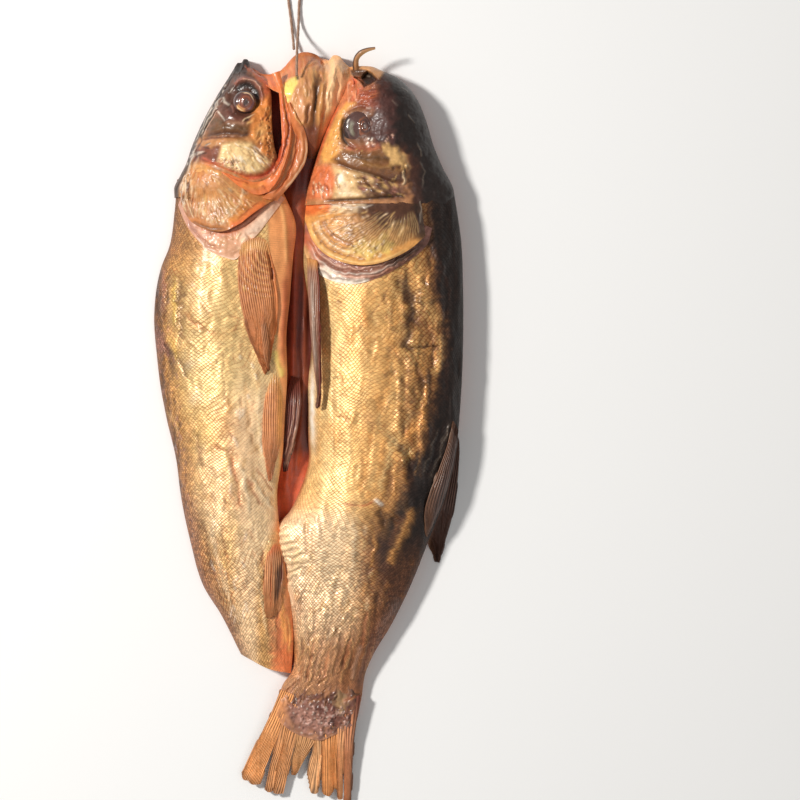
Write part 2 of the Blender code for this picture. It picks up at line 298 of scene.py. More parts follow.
def ease(low, high, x):
    """0 below low, 1 above high and smooth between."""
    f = np.clip((x - low) / (high - low), 0, 1)
    return f * f * (3 - 2 * f)


def blur(z, times):
    """Softens a sheet of heights."""
    for _ in range(times):
        wide = np.pad(z, 1, mode="edge")
        z = (wide[:-2, 1:-1] + wide[2:, 1:-1] + wide[1:-1, :-2] + wide[1:-1, 2:] + 4 * wide[1:-1, 1:-1]) / 8
    return z


def to_path(x, y, path):
    """Distance from points to a path of straight steps, and how far along it they are, 0 to 1."""
    best = np.full(x.shape, 1e9)
    along = np.zeros(x.shape)
    total = length_of(path)
    done = 0.0
    for a, b in zip(path, path[1:]):
        step = b - a
        size = max(float(np.hypot(*step)), 1e-9)
        f = np.clip(((x - a[0]) * step[0] + (y - a[1]) * step[1]) / size ** 2, 0, 1)
        far = np.hypot(x - a[0] - f * step[0], y - a[1] - f * step[1])
        closer = far < best
        best = np.where(closer, far, best)
        along = np.where(closer, (done + f * size) / total, along)
        done += size
    return best, along


def within(x, y, ring):
    """Which places lie inside a closed ring of points."""
    inside = np.zeros(x.shape, dtype=bool)
    for (ax, ay), (bx, by) in zip(ring, ring[1:]):
        crosses = (ay > y) != (by > y)
        inside ^= crosses & (x < (bx - ax) * (y - ay) / (by - ay if by != ay else 1e-9) + ax)
    return inside


# %% The skin that strokes shape
class Skin:
    """A sheet of points between a left and a right edge, from the head towards the tail."""

    def __init__(self, left, right, rows, columns, near=None, far=None, crowd=0.8, colour=GOLD,
                 places=None):
        t = np.linspace(0, 1, rows) if places is None else places
        v = np.linspace(0, 1, columns)
        s = v * (1 - crowd) + crowd * (1 - np.cos(math.pi * v)) / 2
        one, other = curve_at(left, t), curve_at(right, t)
        self.left, self.right = one, other
        self.t, self.s = np.meshgrid(t, s, indexing="ij")
        flat = one[:, None, :2] * (1 - self.s[..., None]) + other[:, None, :2] * self.s[..., None]
        for ends, fade in ((near, 1 - t), (far, t)):
            if ends is not None:
                bow = curve_at(ends, s)
                chord = bow[:1] * (1 - s[:, None]) + bow[-1:] * s[:, None]
                flat += fade[:, None, None] * (bow - chord)[None]
        self.x, self.y = flat[..., 0], flat[..., 1]
        self.z = np.zeros(self.x.shape)
        self.tone = np.zeros(self.x.shape + (3,)) + colour
        self.scaly = np.zeros(self.x.shape)
        self.gloss = np.full(self.x.shape, 0.5)
        self.contrast = np.full(self.x.shape, 0.5)
        self.uv = np.stack([self.s, self.t], axis=-1)

    def arch(self, crest, crest_at=0.5, fullness=0.6):
        """Raises the sheet between its edges' own heights to a crest."""
        skew = math.log(0.5) / math.log(crest_at)
        edge = self.left[:, None, 2] * (1 - self.s) + self.right[:, None, 2] * self.s
        high = values_at(crest, self.t[:, 0])[:, None]
        bulge = np.sin(math.pi * np.clip(self.s, 0.00001, 0.99999) ** skew) ** fullness
        self.z = edge + np.maximum(high - edge, 0) * bulge

    def lay(self, lift, soften=2, crown=0.0, least=None):
        """Lays the sheet on the pieces that are there, no lower than least. Both run along it."""
        rows, columns = self.x.shape
        r = np.unique(np.linspace(0, rows - 1, max(rows // 3, 6)).astype(int))
        c = np.unique(np.linspace(0, columns - 1, max(columns // 3, 4)).astype(int))
        found = ground(self.x[np.ix_(r, c)], self.y[np.ix_(r, c)])
        if least is not None:
            found = np.maximum(found, values_at(least, self.t[r, 0])[:, None])
        found = blur(found, soften)
        found = np.array([np.interp(np.arange(rows), r, line) for line in found.T]).T
        found = np.array([np.interp(np.arange(columns), c, line) for line in found])
        self.z = blur(found, 3) + values_at(lift, self.t[:, 0])[:, None]
        self.z = self.z + crown * np.sin(math.pi * self.s)

    def tint(self, mask, colour):
        """Blends a colour in by a mask."""
        self.tone += (colour - self.tone) * np.clip(mask, 0, 1)[..., None]

    def work(self, mask, lift, colour, amount, scaly, gloss):
        """Does to the sheet what a stroke, blot or patch asks for."""
        self.z = self.z + lift * mask
        if colour is not None:
            self.tint(mask * amount, colour)
        if scaly is not None:
            self.scaly = self.scaly + (scaly - self.scaly) * np.clip(mask, 0, 1)
        if gloss is not None:
            self.gloss = self.gloss + (gloss - self.gloss) * np.clip(mask, 0, 1)

    def stroke(self, points, width, lift=0.0, colour=None, amount=1.0, taper=0.15, scaly=None,
               gloss=None, wobble=0.0):
        """A ridge, groove or line of colour along a smooth path, thinning out at its ends."""
        path = curve_at(points, np.linspace(0, 1, max(6, int(length_of(points) / 3))))
        reach = 2.5 * width + abs(wobble)
        low, high = path.min(axis=0) - reach, path.max(axis=0) + reach
        near = (self.x > low[0]) & (self.x < high[0]) & (self.y > low[1]) & (self.y < high[1])
        if not near.any():
            return
        x, y = self.x[near], self.y[near]
        if wobble:
            x = x + wobble * noise(x, y, 4, 71)
            y = y + wobble * noise(x, y, 4, 72)
        far, along = to_path(x, y, path)
        mask = np.zeros(self.x.shape)
        ends = ease(0, taper, along) * ease(0, taper, 1 - along) if taper else 1.0
        mask[near] = np.exp(-(far / width) ** 2) * ends
        self.work(mask, lift, colour, amount, scaly, gloss)

    def blot(self, centre, size, lift=0.0, colour=None, amount=1.0, turn=0.0, scaly=None, gloss=None,
             ragged=0.0, hard=1.0):
        """A soft oval. A higher hard gives it a flatter top and a firmer edge."""
        a = math.radians(turn)
        dx, dy = self.x - centre[0], self.y - centre[1]
        u = (dx * math.cos(a) + dy * math.sin(a)) / size[0]
        v = (dy * math.cos(a) - dx * math.sin(a)) / size[1]
        r = np.hypot(u, v) + ragged * noise(self.x, self.y, 3.5, 31)
        mask = np.exp(-np.maximum(r, 0) ** (2 * hard))
        self.work(mask, lift, colour, amount, scaly, gloss)

    def patch(self, outline, lift=0.0, colour=None, amount=1.0, edge=1.5, ragged=0.0, scaly=None,
              gloss=None):
        """Fills an outline, with an edge that is soft over the given width."""
        points = np.array(outline, dtype=float)
        ring = np.vstack([points, points[:1]])
        x = self.x + ragged * noise(self.x, self.y, 3.0, 51)
        y = self.y + ragged * noise(self.x, self.y, 3.0, 52)
        reach = edge + abs(ragged) + 1
        low, high = points.min(axis=0) - reach, points.max(axis=0) + reach
        near = (x > low[0]) & (x < high[0]) & (y > low[1]) & (y < high[1])
        if not near.any():
            return
        x, y = x[near], y[near]
        far = to_path(x, y, ring)[0] * np.where(within(x, y, ring), 1, -1)
        mask = np.zeros(self.x.shape)
        mask[near] = ease(-edge, edge, far)
        self.work(mask, lift, colour, amount, scaly, gloss)

    def creases(self, outline, count, long, heading, width, lift, colours, amount, seed, spread=16,
                gloss=None):
        """Scatters short creases in an outline. They head an angle in degrees, or away from a point."""
        chance = np.random.default_rng(seed)
        ring = np.array(list(outline) + [outline[0]], dtype=float)
        spots = chance.uniform(ring.min(axis=0), ring.max(axis=0), (count * 6, 2))
        spots = spots[within(spots[:, 0], spots[:, 1], ring)][:count]
        for k, (x, y) in enumerate(spots):
            if isinstance(heading, tuple):
                a = math.atan2(y - heading[1], x - heading[0])
            else:
                a = math.radians(heading)
            a += math.radians(chance.normal(0, spread))
            half = long * chance.uniform(0.3, 0.75)
            bend = chance.uniform(-0.25, 0.25) * half
            dx, dy = half * math.cos(a), half * math.sin(a)
            path = [(x - dx, y - dy), (x - bend * math.sin(a), y + bend * math.cos(a)), (x + dx, y + dy)]
            self.stroke(path, width * chance.uniform(0.7, 1.4), lift=lift * (-1) ** k,
                        colour=colours[k % len(colours)], amount=amount, taper=0.35, gloss=gloss)

    def mottle(self, size, amount, seed, stretch=1.0):
        """Makes the tone lighter and darker in soft spots, or in streaks along the fish."""
        change = noise(self.x, self.y / stretch, size, seed)
        self.tone *= np.clip(1 + amount * change, 0.05, 3)[..., None]

    def rough(self, size, lift, seed, stretch=1.0, mask=1.0):
        """Low bumps, or wrinkles along the fish where stretched."""
        self.z = self.z + lift * noise(self.x, self.y / stretch, size, seed) * mask

    def points(self):
        """The sheet as points."""
        return np.stack([self.x, self.y, self.z], axis=-1)

    def finish(self):
        """What the materials read besides the tone."""
        return np.stack([self.scaly, self.gloss, self.contrast], axis=-1)


# %% [markdown]
# ## Three ways to make a piece of a skin
#
# A body is a skin that is rolled under at both edges and meets itself below, on the table. A leaf is
# a thin skin with a thickness, such as a fin or a gill cover. What lies on other pieces asks for the
# ground under it, which is found by rays from above.

# %% Bodies, leaves and the ground
laid_trees = []


def ground(x, y):
    """Height of the highest finished piece under each point."""
    down = Vector((0, 0, -1))
    flat = []
    for px, py in zip(x.ravel() * MM, y.ravel() * MM):
        start = Vector((px, py, 1.0))
        hits = [tree.ray_cast(start, down)[0] for tree in laid_trees]
        flat.append(max((hit.z for hit in hits if hit is not None), default=0.0) / MM)
    return np.array(flat).reshape(x.shape)


def lies_under(obj):
    """From now on other pieces are laid on this one."""
    laid_trees.append(BVHTree.FromObject(obj, bpy.context.evaluated_depsgraph_get()))


def zip_ends(obj, rows, columns, on_top):
    """Closes the two ends of a rolled-up grid, triangle by triangle between its top and underside."""
    mesh = bmesh.new()
    mesh.from_mesh(obj.data)
    mesh.verts.ensure_lookup_table()
    for first in (0, (rows - 1) * columns):
        upper = [mesh.verts[first + c] for c in range(on_top)]
        lower = [mesh.verts[first + c] for c in range(columns - 1, on_top - 2, -1)]
        far = []
        for line in (upper, lower):
            steps = [(b.co.xy - a.co.xy).length for a, b in zip(line, line[1:])]
            far.append(np.concatenate([[0.0], np.cumsum(steps)]) / sum(steps))
        i, j = 0, 0
        while i < len(upper) - 1 or j < len(lower) - 1:
            if j == len(lower) - 1 or (i < len(upper) - 1 and far[0][i + 1] <= far[1][j + 1]):
                corners = (upper[i], upper[i + 1], lower[j])
                i += 1
            else:
                corners = (upper[i], lower[j + 1], lower[j])
                j += 1
            if len(set(corners)) == 3:
                mesh.faces.new(corners)
    mesh.to_mesh(obj.data)
    mesh.free()


TUCK = 3.0
UNDER_STEPS = 8
HOLLOW = 1.5


def body(name, skin, tuck=TUCK, hollow=HOLLOW):
    """A skin that is rolled under at both edges and closed below."""
    top = skin.points()
    left, right = top[:, 0], top[:, -1]
    inward = (left - right)[:, :2]
    inward = inward / np.linalg.norm(inward, axis=1)[:, None]
    wall = [(0.2, 0.62), (0.55, 0.3), (0.85, 0.08), (1.0, 0.0)]
    columns = []
    for reach, high in wall:
        columns.append(np.column_stack([right[:, :2] + inward * tuck * reach, right[:, 2] * high]))
    inset = tuck / np.linalg.norm((left - right)[:, :2], axis=1)
    each = np.arange(len(top))
    for f in np.linspace(0, 1, UNDER_STEPS + 2)[1:-1]:
        s = 1 - inset - f * (1 - 2 * inset)
        xy = top[each, [np.searchsorted(skin.s[0], value) for value in s], :2]
        rise = hollow * math.sin(math.pi * f) ** 2 * (1 + 0.5 * noise(xy[:, 0], xy[:, 1], 9, 5))
        columns.append(np.column_stack([xy, np.minimum(rise, 0.5 * np.minimum(left[:, 2], right[:, 2]))]))
    for reach, high in wall[::-1]:
        columns.append(np.column_stack([left[:, :2] - inward * tuck * reach, left[:, 2] * high]))
    columns.append(left)
    below = np.stack(columns, axis=1)
    count = below.shape[1]
    edge_tone = (skin.tone[:, :1] + skin.tone[:, -1:]) / 2
    low_tone = np.zeros((below.shape[0], count, 3)) + FLESH
    low_tone[:, 0] = (skin.tone[:, -1] + FLESH) / 2
    low_tone[:, -1] = skin.tone[:, 0]
    low_tone[:, -2] = (skin.tone[:, 0] + FLESH) / 2
    low_tone *= 0.85 + 0.15 * edge_tone / np.maximum(edge_tone.max(), 0.01)
    low_finish = np.zeros((below.shape[0], count, 3))
    low_finish[..., 1] = 0.4
    low_uv = np.repeat(skin.uv[:, -1:], count, axis=1)
    low_uv[..., 0] += np.linspace(0, 1, count + 1)[1:] * (skin.uv[0, -1, 0] - skin.uv[0, 0, 0])
    obj = add_grid(name, np.concatenate([top, below], axis=1),
                   np.concatenate([skin.tone, low_tone], axis=1),
                   np.concatenate([skin.finish(), low_finish], axis=1),
                   np.concatenate([skin.uv, low_uv], axis=1))
    zip_ends(obj, len(top), top.shape[1] + count, top.shape[1])
    close_up(obj)
    smooth_shade(obj)
    return obj


def leaf(name, skin, thickness):
    """A thin skin."""
    obj = add_grid(name, skin.points(), skin.tone, skin.finish(), skin.uv)
    add_thickness(obj, thickness)
    smooth_shade(obj)
    return obj

# %% [markdown]
# ## Scales
#
# A carp's scales overlap like roof tiles, each row half a scale across from the next, with the free
# edge towards the tail. Two lattices of ovals, one shifted by half a scale, give that pattern: where
# two ovals cover a point, the one that starts nearer the head lies on top. The same rule is written
# twice, once for the relief of the mesh and once as a node group for what is finer than the mesh.

# %% The scale rule for the mesh
SCALE_SPREAD = 0.62
POINTS_ALONG_SCALE = 4
POINTS_ACROSS_SCALE = 3


def scale_relief(a, b):
    """Height of the overlapping scales from 0 to 1, with a along the fish and b across it."""
    reach, radius, number = [], [], []
    for shift in (0.0, 0.5):
        x = (a + shift) % 1.0
        row = np.round(b + shift)
        r = np.hypot(x, (b + shift - row) / SCALE_SPREAD)
        reach.append(np.where(r < 1, x, 0))
        radius.append(r)
        number.append(np.sin((a + shift - x) * 12.9898 + row * 78.233 + shift * 37.7) * 43758.5453 % 1.0)
    first = reach[0] > reach[1]
    x, r = np.where(first, reach[0], reach[1]), np.where(first, radius[0], radius[1])
    chance = np.where(first, number[0], number[1])
    return x * (1 - 0.5 * ease(0.86, 1.0, r)), chance


# %% [markdown]
# ## Materials
#
# A small helper adds a node and fills its inputs in order. The effects that several materials share
# are node groups: the scales, and the mottling of smoked skin. Each material then places them with
# its own values.


# %% A helper for node trees
class Tree:
    """Adds nodes to a material or a node group."""

    def __init__(self, tree):
        self.tree = tree

    def add(self, kind, *inputs, **settings):
        node = self.tree.nodes.new("ShaderNode" + kind)
        for name, value in settings.items():
            setattr(node, name, value)
        for socket, value in zip(node.inputs, inputs):
            self.put(socket, value)
        return node

    def put(self, socket, value):
        if isinstance(value, bpy.types.NodeSocket):
            self.tree.links.new(value, socket)
        elif value is not None:
            socket.default_value = value

    def math(self, operation, *inputs):
        return self.add("Math", *inputs, operation=operation).outputs[0]

    def between(self, value, low, high, to_low=0.0, to_high=1.0):
        """Maps a value from one span to another, smoothly."""
        node = self.add("MapRange", value, low, high, to_low, to_high, interpolation_type="SMOOTHSTEP")
        return node.outputs[0]

    def tinted(self, colour, factor, other, kind="MIX"):
        """Mixes another colour in by a factor."""
        node = self.add("Mix", data_type="RGBA", blend_type=kind)
        self.put(node.inputs[0], factor)
        self.put(node.inputs[6], colour)
        self.put(node.inputs[7], other)
        return node.outputs[2]

    def noise(self, place, scale, detail=3.0, roughness=0.55):
        node = self.add("TexNoise", place)
        self.put(node.inputs["Scale"], scale)
        self.put(node.inputs["Detail"], detail)
        self.put(node.inputs["Roughness"], roughness)
        return node.outputs[0]


def new_group(name, inputs, outputs):
    """An empty shader node group with named sockets, with its first and last node."""
    tree = bpy.data.node_groups.new(name, "ShaderNodeTree")
    for side, sockets in (("INPUT", inputs), ("OUTPUT", outputs)):
        for label, kind, value in sockets:
            socket = tree.interface.new_socket(name=label, in_out=side, socket_type="NodeSocket" + kind)
            if value is not None:
                socket.default_value = value
    group = Tree(tree)
    return group, tree.nodes.new("NodeGroupInput").outputs, tree.nodes.new("NodeGroupOutput").inputs


# %% The scale rule as a node group
def scales_group():
    """Height, rim and chance of the scale under a place that is given in scales across and along."""
    group, given, result = new_group(
        "overlapping_scales",
        [("Place", "Vector", None)],
        [("Height", "Float", None), ("Rim", "Float", None), ("Chance", "Float", None)])
    place = group.add("SeparateXYZ", given["Place"]).outputs
    found = []
    for shift in (0.0, 0.5):
        along = group.math("ADD", place[1], shift)
        across = group.math("ADD", place[0], shift)
        x = group.math("FRACT", along)
        row = group.math("ROUND", across)
        y = group.math("DIVIDE", group.math("SUBTRACT", across, row), SCALE_SPREAD)
        flat = group.add("CombineXYZ", x, y, 0.0).outputs[0]
        r = group.add("VectorMath", flat, operation="LENGTH").outputs[1]
        covers = group.math("LESS_THAN", r, 1.0)
        start = group.math("SUBTRACT", along, x)
        number = group.add("CombineXYZ", start, row, shift * 31).outputs[0]
        found.append((group.math("MULTIPLY", x, covers), r, number))
    first = group.math("GREATER_THAN", found[0][0], found[1][0])
    x = group.math("MAXIMUM", found[0][0], found[1][0])
    radius = group.add("Mix", data_type="FLOAT")
    group.put(radius.inputs[0], first)
    group.put(radius.inputs[2], found[1][1])
    group.put(radius.inputs[3], found[0][1])
    number = group.tinted(found[1][2], first, found[0][2])
    chance = group.add("TexWhiteNoise", number, noise_dimensions="3D").outputs[0]
    rim = group.between(radius.outputs[0], 0.70, 1.0)
    fall = group.math("SUBTRACT", 1.0, group.math("MULTIPLY", rim, 0.45))
    group.put(result["Height"], group.math("MULTIPLY", x, fall))
    group.put(result["Rim"], rim)
    group.put(result["Chance"], chance)
    return group.tree


def mottle_group():
    """Smoked skin in soft lighter and darker spots and fine specks, with the same as a height."""
    group, given, result = new_group(
        "smoke_mottling",
        [("Colour", "Color", None), ("Place", "Vector", None), ("Spots", "Float", 160.0),
         ("Specks", "Float", 900.0), ("Amount", "Float", 0.25)],
        [("Colour", "Color", None), ("Height", "Float", None)])
    spots = group.noise(given["Place"], given["Spots"])
    specks = group.noise(given["Place"], given["Specks"], 2.0, 0.6)
    both = group.math("ADD", group.math("MULTIPLY", spots, 0.6), group.math("MULTIPLY", specks, 0.4))
    swing = group.math("MULTIPLY", group.math("SUBTRACT", both, 0.5), group.math("MULTIPLY", given["Amount"], 4.0))
    bright = group.math("ADD", swing, 1.0)
    grey = group.add("CombineXYZ", bright, bright, bright).outputs[0]
    group.put(result["Colour"], group.tinted(given["Colour"], 1.0, grey, "MULTIPLY"))
    group.put(result["Height"], both)
    return group.tree


SCALES_GROUP = scales_group()
MOTTLE_GROUP = mottle_group()
print("node groups:", SCALES_GROUP.name, MOTTLE_GROUP.name)


# %% One maker for the skins
def new_finish(name):
    """A new material's tree, its shader, and what every skin reads: tone, finish and place."""
    material = bpy.data.materials.new(name)
    material.use_nodes = True
    tree = Tree(material.node_tree)
    shader = material.node_tree.nodes["Principled BSDF"].inputs
    tone = tree.add("Attribute", attribute_name="tone").outputs["Color"]
    marks = tree.add("SeparateXYZ", tree.add("Attribute", attribute_name="finish").outputs["Vector"]).outputs
    place = tree.add("TexCoord").outputs["Object"]
    return material, tree, shader, tone, marks, place


def use_group(tree, group, **inputs):
    """Places a node group in a material."""
    node = tree.add("Group", node_tree=group)
    for name, value in inputs.items():
        tree.put(node.inputs[name], value)
    return node.outputs


def skin_finish(name, spots=140.0, specks=900.0, amount=0.22, rough=0.42, coat=0.5, metal=0.0,
                bump=0.00025, scales=0.0, warm=(1.0, 0.92, 0.86, 1.0)):
    """Smoked skin: mottled, oily where glossy, and scaled where scaly."""
    material, tree, shader, tone, marks, place = new_finish(name)
    scaly, gloss, contrast = marks
    mottled = use_group(tree, MOTTLE_GROUP, Colour=tone, Place=place, Spots=spots, Specks=specks,
                        Amount=amount)
    colour = tree.tinted(mottled["Colour"], 1.0, warm, "MULTIPLY")
    wear = tree.math("SUBTRACT", mottled["Height"], 0.5)
    roughness = tree.math("ADD", tree.math("MULTIPLY", wear, 0.5), rough + 0.12)
    roughness = tree.math("SUBTRACT", roughness, tree.math("MULTIPLY", gloss, 0.24))
    fine = tree.add("Bump", 0.6, bump)
    tree.put(fine.inputs["Height"], mottled["Height"])
    normal = fine.outputs[0]
    if scales:
        uv = tree.add("UVMap", uv_map="UVMap").outputs[0]
        scale = use_group(tree, SCALES_GROUP, Place=uv)
        # Painted shade and glints: each scale is darkened at its rim, the painted shade of the overlap, and made
        # lighter or darker at random, partly its own tone and partly painted glints of single scales.
        dark = tree.math("MULTIPLY", tree.math("MULTIPLY", scale["Rim"], contrast), scaly)
        colour = tree.tinted(colour, dark, tree.tinted(colour, 1.0, (*screen(188, 128, 78), 1.0), "MULTIPLY"))
        spread = tree.math("MULTIPLY", tree.math("SUBTRACT", scale["Chance"], 0.5), contrast)
        bright = tree.math("ADD", tree.math("MULTIPLY", tree.math("MULTIPLY", spread, 0.75), scaly), 1.0)
        grey = tree.add("CombineXYZ", bright, bright, bright).outputs[0]
        colour = tree.tinted(colour, 1.0, grey, "MULTIPLY")
        step = tree.add("Bump", 1.0, scales)
        tilt = tree.math("ADD", scale["Height"], tree.math("MULTIPLY", scale["Chance"], 0.5))
        tree.put(step.inputs["Height"], tree.math("MULTIPLY", tilt, scaly))
        tree.put(step.inputs["Normal"], normal)
        normal = step.outputs[0]
        roughness = tree.math("ADD", roughness, tree.math("MULTIPLY", scale["Rim"], 0.12))
        tree.put(shader["Metallic"], tree.math("MULTIPLY", scaly, metal))
    tree.put(shader["Base Color"], colour)
    tree.put(shader["Roughness"], roughness)
    tree.put(shader["Coat Weight"], tree.math("MULTIPLY", gloss, coat))
    shader["Coat Roughness"].default_value = 0.16
    shader["IOR"].default_value = 1.45
    tree.put(shader["Normal"], normal)
    print("material:", name)
    return material


SCALED_SKIN = skin_finish("scaled_skin", amount=0.22, rough=0.43, coat=0.22, metal=0.25, scales=0.00034,
                          warm=(1.0, 0.98, 0.96, 1.0))
BARE_SKIN = skin_finish("bare_skin", spots=220.0, specks=1100.0, amount=0.2, rough=0.44, coat=0.35)
BONE_PLATE = skin_finish("bone_plate", spots=180.0, specks=1500.0, amount=0.14, rough=0.42, coat=0.25)
FIN_RAYS = skin_finish("fin_rays", spots=260.0, specks=1300.0, amount=0.26, rough=0.5, coat=0.25)
RAW_EDGE = skin_finish("raw_edge", spots=180.0, specks=700.0, amount=0.3, rough=0.5, coat=0.5, bump=0.0004)


# %% Eyes and twine
def eye_finish():
    """The dried eye: glossy, with a clear coat over its rings."""
    material, tree, shader, tone, marks, place = new_finish("dried_eye")
    mottled = use_group(tree, MOTTLE_GROUP, Colour=tone, Place=place, Spots=320.0, Specks=1500.0, Amount=0.16)
    tree.put(shader["Base Color"], mottled["Colour"])
    tree.put(shader["Roughness"], tree.between(mottled["Height"], 0.3, 0.7, 0.2, 0.38))
    shader["Coat Weight"].default_value = 0.9
    shader["Coat Roughness"].default_value = 0.06
    fine = tree.add("Bump", 0.4, 0.0001)
    tree.put(fine.inputs["Height"], mottled["Height"])
    tree.put(shader["Normal"], fine.outputs[0])
    return material


def twine_finish():
    """Brown plant fibre: matt, with fine paler fibres along it. Its tone is paler on the crowns of the plies and
    darker between them, which is painted light and shade.
    """
    material, tree, shader, tone, marks, place = new_finish("twine_fibre")
    fibres = tree.noise(place, 2600.0, 4.0, 0.7)
    colour = tree.tinted(tone, tree.between(fibres, 0.35, 0.7), (*screen(186, 150, 126), 1.0))
    tree.put(shader["Base Color"], colour)
    tree.put(shader["Roughness"], tree.between(fibres, 0.2, 0.8, 0.95, 0.75))
    fine = tree.add("Bump", 0.8, 0.0002)
    tree.put(fine.inputs["Height"], fibres)
    tree.put(shader["Normal"], fine.outputs[0])
    return material


DRIED_EYE = eye_finish()
TWINE_FIBRE = twine_finish()

# %% The twine's mesh
centre = twine_centreline()
rings = twine_rings(centre)
# Painted shade: the twine's tone is darker where the tube narrows between the plies, and paler on their crowns.
crown = np.linalg.norm(rings - centre[:, None, :], axis=2) / (TWINE_DIAMETER / 2)
deep = ease(PLY_HIGH, PLY_LOW, crown)[..., None]
twine_tone = screen(136, 104, 88) * (1 - deep) + screen(78, 54, 44) * deep
twine_uv = np.stack(np.meshgrid(np.linspace(0, 1, len(centre)), np.linspace(0, 1, TWINE_SIDES + 1),
                                indexing="ij"), axis=-1)
twine = add_grid("twine_loop", rings[:, ::-1], twine_tone[:, ::-1], np.zeros(twine_tone.shape), twine_uv)
close_up(twine)
smooth_shade(twine)
settle(twine, TWINE_FIBRE, node="twine")
print("twine length in mm:", round(length_of(centre), 1))

# %% [markdown]
# ## The fold between the halves
#
# Below the belly the skin runs across from one half to the other. It lies deep between the halves,
# and its dark red-brown is painted shade for that gap. It is the first piece, as everything else lies
# over it.

# %% Fold
# Painted shade: the fold's maroon base stands for the shade that falls in the gap between the halves; the rust and
# coral streaks are its own colour.
fold = Skin([(-40, 262, 8), (-34, 225, 8), (-26, 190, 6), (-24, 60, 5), (-26, -80, 5), (-16, -178, 4)],
            [(44, 262, 8), (24, 225, 8), (10, 190, 6), (9, 60, 5), (6, -80, 5), (4, -178, 4)],
            180, 30, crowd=0.3, colour=MAROON)
fold.arch([14, 15, 12, 10, 10, 11], fullness=0.8)
fold.mottle(6, 0.25, 11, stretch=4)
fold.mottle(2.2, 0.2, 12, stretch=6)
fold.rough(3.0, 0.9, 13, stretch=7)
fold.patch([(-20, 60), (-4, 60), (0, -40), (-14, -70), (-24, -60)], colour=RUST, amount=0.35, edge=5)
fold.patch([(-24, -20), (0, -18), (4, -50), (-14, -76), (-28, -66)], colour=screen(220, 106, 66),
           amount=0.85, edge=5)
fold.stroke([(-9, 150), (-10, 100), (-12, 40), (-15, -20), (-19, -60)], 2.0, lift=1.6, colour=CORAL,
            amount=0.5)
fold.stroke([(-4, 180), (-3, 120), (-3, 60), (-6, 0), (-12, -50)], 1.5, lift=0.8, colour=RUST, amount=0.4)
fold.patch([(-16, 178), (0, 178), (0, 118), (-13, 118)], colour=RUST, amount=0.45, edge=5)
settle(body("belly_fold", fold, tuck=1.0), RAW_EDGE)

# %% [markdown]
# ## The left half
#
# The left half is one broad flank of small scales. It is brown along the back, where the knife went,
# cream where it swells, and orange along the belly keel. The grid has four rows for each scale, so
# the scales are real relief, and its rows close up towards the tail, where scales are smaller.


# %% Rows of scales
def scale_rows(count, closing):
    """Places along a flank for its rows of points, and how many scales from the head each is."""
    a = np.arange(count * POINTS_ALONG_SCALE + 1) / POINTS_ALONG_SCALE
    q = a / count
    t = (np.sqrt((1 - closing) ** 2 + 4 * closing * q) - (1 - closing)) / (2 * closing)
    return t, a


def add_scales(skin, along, across, height, chance_height):
    """Raises the scales where the skin is scaly, and numbers them for the material."""
    b = np.linspace(0, across, skin.x.shape[1])
    skin.uv = np.stack(np.broadcast_arrays(b[None, :], along[:, None]), axis=-1).copy()
    for axis, seed in ((0, 7), (1, 8)):
        skin.uv[..., axis] += 0.7 * noise(skin.x, skin.y, 15, seed) + 0.24 * noise(skin.x, skin.y, 5, seed + 2)
    relief, chance = scale_relief(skin.uv[..., 1], skin.uv[..., 0])
    skin.z = skin.z + (relief * height + (chance - 0.5) * chance_height) * skin.scaly


# %% Left flank: form
LEFT_BACK = [(-99, 188, 7), (-101, 163, 6), (-105, 137, 6), (-111, 122, 5), (-116.3, 88, 5),
             (-114, 52, 5), (-112, 35, 5), (-107, 8, 5), (-100, -22, 5), (-96, -52, 5), (-89, -85, 5),
             (-79, -119, 4), (-66, -140, 4), (-51, -170, 3)]
LEFT_KEEL = [(-20, 181, 18), (-9, 152, 20), (-11, 130, 22), (-13.5, 98, 24), (-16, 70, 24),
             (-15.5, 40, 24), (-17, 12, 24), (-19, -20, 23), (-23, -48, 22), (-21, -76, 21),
             (-16, -110, 20), (-12, -140, 17), (-11, -160, 14), (-13, -184, 9)]
LEFT_END = [(-51, -170), (-44, -173.5), (-28, -181), (-13, -184)]
LEFT_SCALES = (128, 38)

places, along = scale_rows(LEFT_SCALES[0], 0.14)
left = Skin(LEFT_BACK, LEFT_KEEL, len(along), LEFT_SCALES[1] * POINTS_ACROSS_SCALE + 1, far=LEFT_END,
            crowd=0.85, colour=STRAW, places=places)
left.arch([31, 36, 38, 38.5, 38, 36, 32, 25, 13], crest_at=0.56, fullness=0.62)
left.scaly[:] = 1.0

# %% Left flank: colour and folds
back_edge = left.s + 0.012 * noise(left.x, left.y / 3, 5, 21)
left.tint(ease(0.22, 0.05, back_edge) * 0.85, HONEY)
left.tint(ease(0.10, 0.015, back_edge) * 0.8, BROWN)
left.tint(ease(-60, -150, left.y) * 0.35, TAN)
left.patch([(-88, 122), (-52, 128), (-48, 100), (-38, 55), (-34, 10), (-60, 5), (-84, 20), (-92, 60)],
           colour=CREAM, amount=0.85, edge=12)
left.patch([(-80, -15), (-62, -18), (-58, -60), (-68, -95), (-84, -60)], colour=PALE, amount=0.65, edge=9)
left.patch([(-46, -38), (-33, -38), (-32, -92), (-42, -95)], colour=CREAM, amount=0.9, edge=5)
left.patch([(-70, 18), (-42, 18), (-38, -22), (-52, -28), (-70, -18)], colour=HONEY, amount=0.55, edge=6,
           ragged=4)
left.patch([(-98, 182), (-60, 182), (-55, 130), (-88, 126), (-104, 130)], colour=TAN, amount=0.6, edge=8)
left.patch([(-98, 150), (-84, 138), (-84, 105), (-98, 108)], colour=HONEY, amount=0.6, edge=7, ragged=4)
